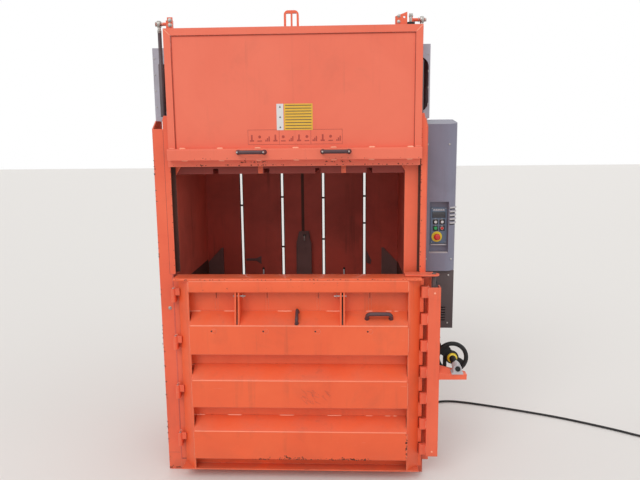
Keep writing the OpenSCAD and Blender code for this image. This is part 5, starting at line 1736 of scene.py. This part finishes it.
@dataclass
class Cabinets(Assembly):
    """The control cabinet's louvre blades and screws, the lower cabinet's lock and the hood's rivets."""

    right: float = 846.0
    front: float = 150.0
    corner: float = 60.0
    hood_side: float = 694.8
    hood_y: Span = (150.0, 856.0)
    hood_z: Span = (1831.0, 2190.0)
    rivet_edge: float = 22.0
    control_screws: tuple[Span, ...] = ((690.0, 1110.0), (820.0, 1110.0), (690.0, 1700.0), (800.0, 1700.0))
    lower_front: float = 170.0
    lower_screws: tuple[Span, ...] = ((668.0, 760.0), (812.0, 760.0), (668.0, 1020.0), (812.0, 1020.0))
    blades: tuple[float, ...] = (1297.0, 1317.0, 1337.0, 1357.0, 1377.0)

    def louvres(self) -> None:
        """Builds the curved blades round the cabinet's corner."""
        shape = Shape()
        centre = (self.right - self.corner, self.front + self.corner)
        for z in self.blades:
            path = []
            for i in range(11):
                turn = math.radians(-68 + 66 * i / 10)
                path.append((centre[0] + (self.corner + 1.5) * math.cos(turn),
                             centre[1] + (self.corner + 1.5) * math.sin(turn), z))
            shape.swept(path, 3.8, 10, 1.3)
        shape.finish("louvre_blades", Body.FRAME, self.paint(PALE_GREY), "grey_paint")

    def screws(self) -> None:
        """Puts the screws in the cabinets, the hood and the lock in the lower cabinet."""
        shape = Shape()
        for front, places in ((self.front, self.control_screws), (self.lower_front, self.lower_screws)):
            for x, z in places:
                shape.cone((x, front, z), Axis.FRONT, (5, 4.2), 2.2, 20, 0.7)
        for z in spaced(1900.0, 2140.0, 4):
            for x in (686, -686):
                shape.cone((x, self.front, z), Axis.FRONT, (4.2, 3.2), 2.2, 16, 0.6)
        levels = (self.hood_z[0] + self.rivet_edge, self.hood_z[1] - self.rivet_edge)
        for x in spaced(-660.0, 660.0, 9):
            for z in levels:
                shape.cone((x, self.hood_y[1] - 0.2, z), Axis.Y, (4.6, 3.4), 1.8, 16, 0.6)
        for y in spaced(self.hood_y[0] + 40, self.hood_y[1] - 40, 6):
            for z in levels:
                for side in (-1, 1):
                    shape.cone((side * self.hood_side, y, z), (side, 0, 0), (4.6, 3.4), 1.8, 16, 0.6)
        shape.finish("cabinet_screws", Body.FRAME, self.paint(ZINC), "bare_steel")
        lock = Shape()
        lock.turned((740, 170, 980), Axis.FRONT, [(0, 0), (14, 0), (14, 2), (11, 4), (10, 5), (0, 5)], 32)
        lock.slab((737.8, 742.2), (161, 166), (973, 987), 1)
        lock.finish("cabinet_lock", Body.FRAME, self.paint(BLACK_PLASTIC), "black_plastic")

    def build(self) -> None:
        """Builds everything on the cabinets."""
        self.louvres()
        self.screws()


# The depths that chips lie at, 0.3 mm in front of the ribs, the rail's lip, the rail, the columns, the guide
# strips, the gate's flange and the gate's bar.
RIB, LIP, RAIL, COLUMN, GUIDE, FLANGE, BAR = -120.3, -106.3, -104.3, -0.3, 33.7, -14.3, -60.3


@dataclass(frozen=True)
class ChipRow:
    """A stretch where the paint is chipped, from and to in X and Z, on one face."""

    face: float
    start: Span
    end: Span
    count: int
    spread: float
    size: Span = (1.4, 4.2)


@dataclass
class Wear(Assembly):
    """Paint chips down to rust along the knocked edges, and scuffs on the door."""

    seed: int = 7
    door: tuple[ChipRow, ...] = (
        ChipRow(RIB, (-210, 127), (400, 127), 70, 9),
        ChipRow(RIB, (-60, 131), (60, 131), 26, 12),
        ChipRow(RIB, (230, 129), (330, 129), 22, 10),
        ChipRow(RIB, (574, 135), (574, 272), 26, 3),
        ChipRow(LIP, (-560, 1056), (630, 1056), 60, 5, (1.0, 3.0)),
        ChipRow(RIB, (-490, 828), (570, 828), 22, 3, (0.8, 2.2)),
        ChipRow(RIB, (-490, 545), (570, 545), 18, 3, (0.8, 2.2)),
        ChipRow(RAIL, (-450, 1000), (560, 1040), 12, 16, (0.8, 2.4)),
    )
    frame: tuple[ChipRow, ...] = (
        ChipRow(COLUMN, (-665, 8), (-610, 8), 22, 10),
        ChipRow(COLUMN, (-668, 30), (-668, 1700), 60, 3),
        ChipRow(GUIDE, (636.5, 1075), (636.5, 1730), 60, 3, (1.2, 3.4)),
        ChipRow(COLUMN, (641, 1075), (641, 1780), 44, 2.5, (1.0, 3.0)),
        ChipRow(COLUMN, (-590, 1075), (-590, 1780), 26, 2, (0.8, 2.4)),
    )
    gate: tuple[ChipRow, ...] = (
        ChipRow(FLANGE, (-240, 1622), (-110, 1622), 26, 8, (1.0, 4.0)),
        ChipRow(FLANGE, (170, 1622), (300, 1622), 24, 8, (1.0, 4.0)),
        ChipRow(FLANGE, (-580, 1608), (625, 1608), 40, 3),
        ChipRow(BAR, (-580, 1640), (630, 1640), 22, 4, (0.8, 2.4)),
    )

    def rows(self, name: str, body: Body, rows: tuple[ChipRow, ...]) -> None:
        """Scatters flat ragged chips along the rows.

        Args:
            name: the piece's name.
            body: the body that it rides on.
            rows: the stretches.
        """
        chance = random.Random(self.seed)
        shape = Shape()
        for row in rows:
            start, end = (Vector((x, row.face, z)) for x, z in (row.start, row.end))
            for _ in range(row.count):
                at = start.lerp(end, chance.random())
                at += Vector((chance.gauss(0, row.spread / 2), 0, abs(chance.gauss(0, row.spread / 2))))
                size = chance.uniform(*row.size)
                turn = shape.facing(tuple(at), Axis.FRONT)
                corners = []
                for i in range(7):
                    angle, reach = math.tau * i / 7, size * chance.uniform(0.45, 1.0)
                    corners.append(shape.bm.verts.new(turn @ Vector((reach * math.cos(angle) * 1.5,
                                                                     reach * math.sin(angle), 0))))
                shape.bm.faces.new(corners)
        shape.finish(name, body, self.paint(RUST), "orange_paint")

    def scuffs(self) -> None:
        """Draws the thin scratches on the door's middle rib."""
        chance = random.Random(self.seed + 4)
        shape = Shape()
        for _ in range(26):
            x, z = chance.uniform(50, 185), chance.uniform(420, 492)
            turn = Matrix.Rotation(math.radians(chance.gauss(38, 24)), 4, "Y")
            half = chance.uniform(5, 22)
            shape.slab((x - half, x + half), (-120.3, -119.9), (z - 0.5, z + 0.5), 0.0, turn)
        shape.finish("door_scuffs", Body.DOOR, self.paint(SEAM_SHADE), "orange_paint")

    def build(self) -> None:
        """Builds all the wear."""
        self.rows("door_chips", Body.DOOR, self.door)
        self.rows("frame_chips", Body.FRAME, self.frame)
        self.rows("gate_chips", Body.GATE, self.gate)
        self.scuffs()


ASSEMBLIES = (Gate, Door, Lock, Wheel, Panel, Columns, Chamber, Struts, Cabinets, Wear)


def main() -> None:
    """Builds and dresses every sub-assembly in order."""
    Studio().build()
    paint = Paintbox()
    MainsLead(paint).build()
    dress_solids(paint)
    for part in ASSEMBLIES:
        part(paint).build()


if __name__ == "__main__":
    main()
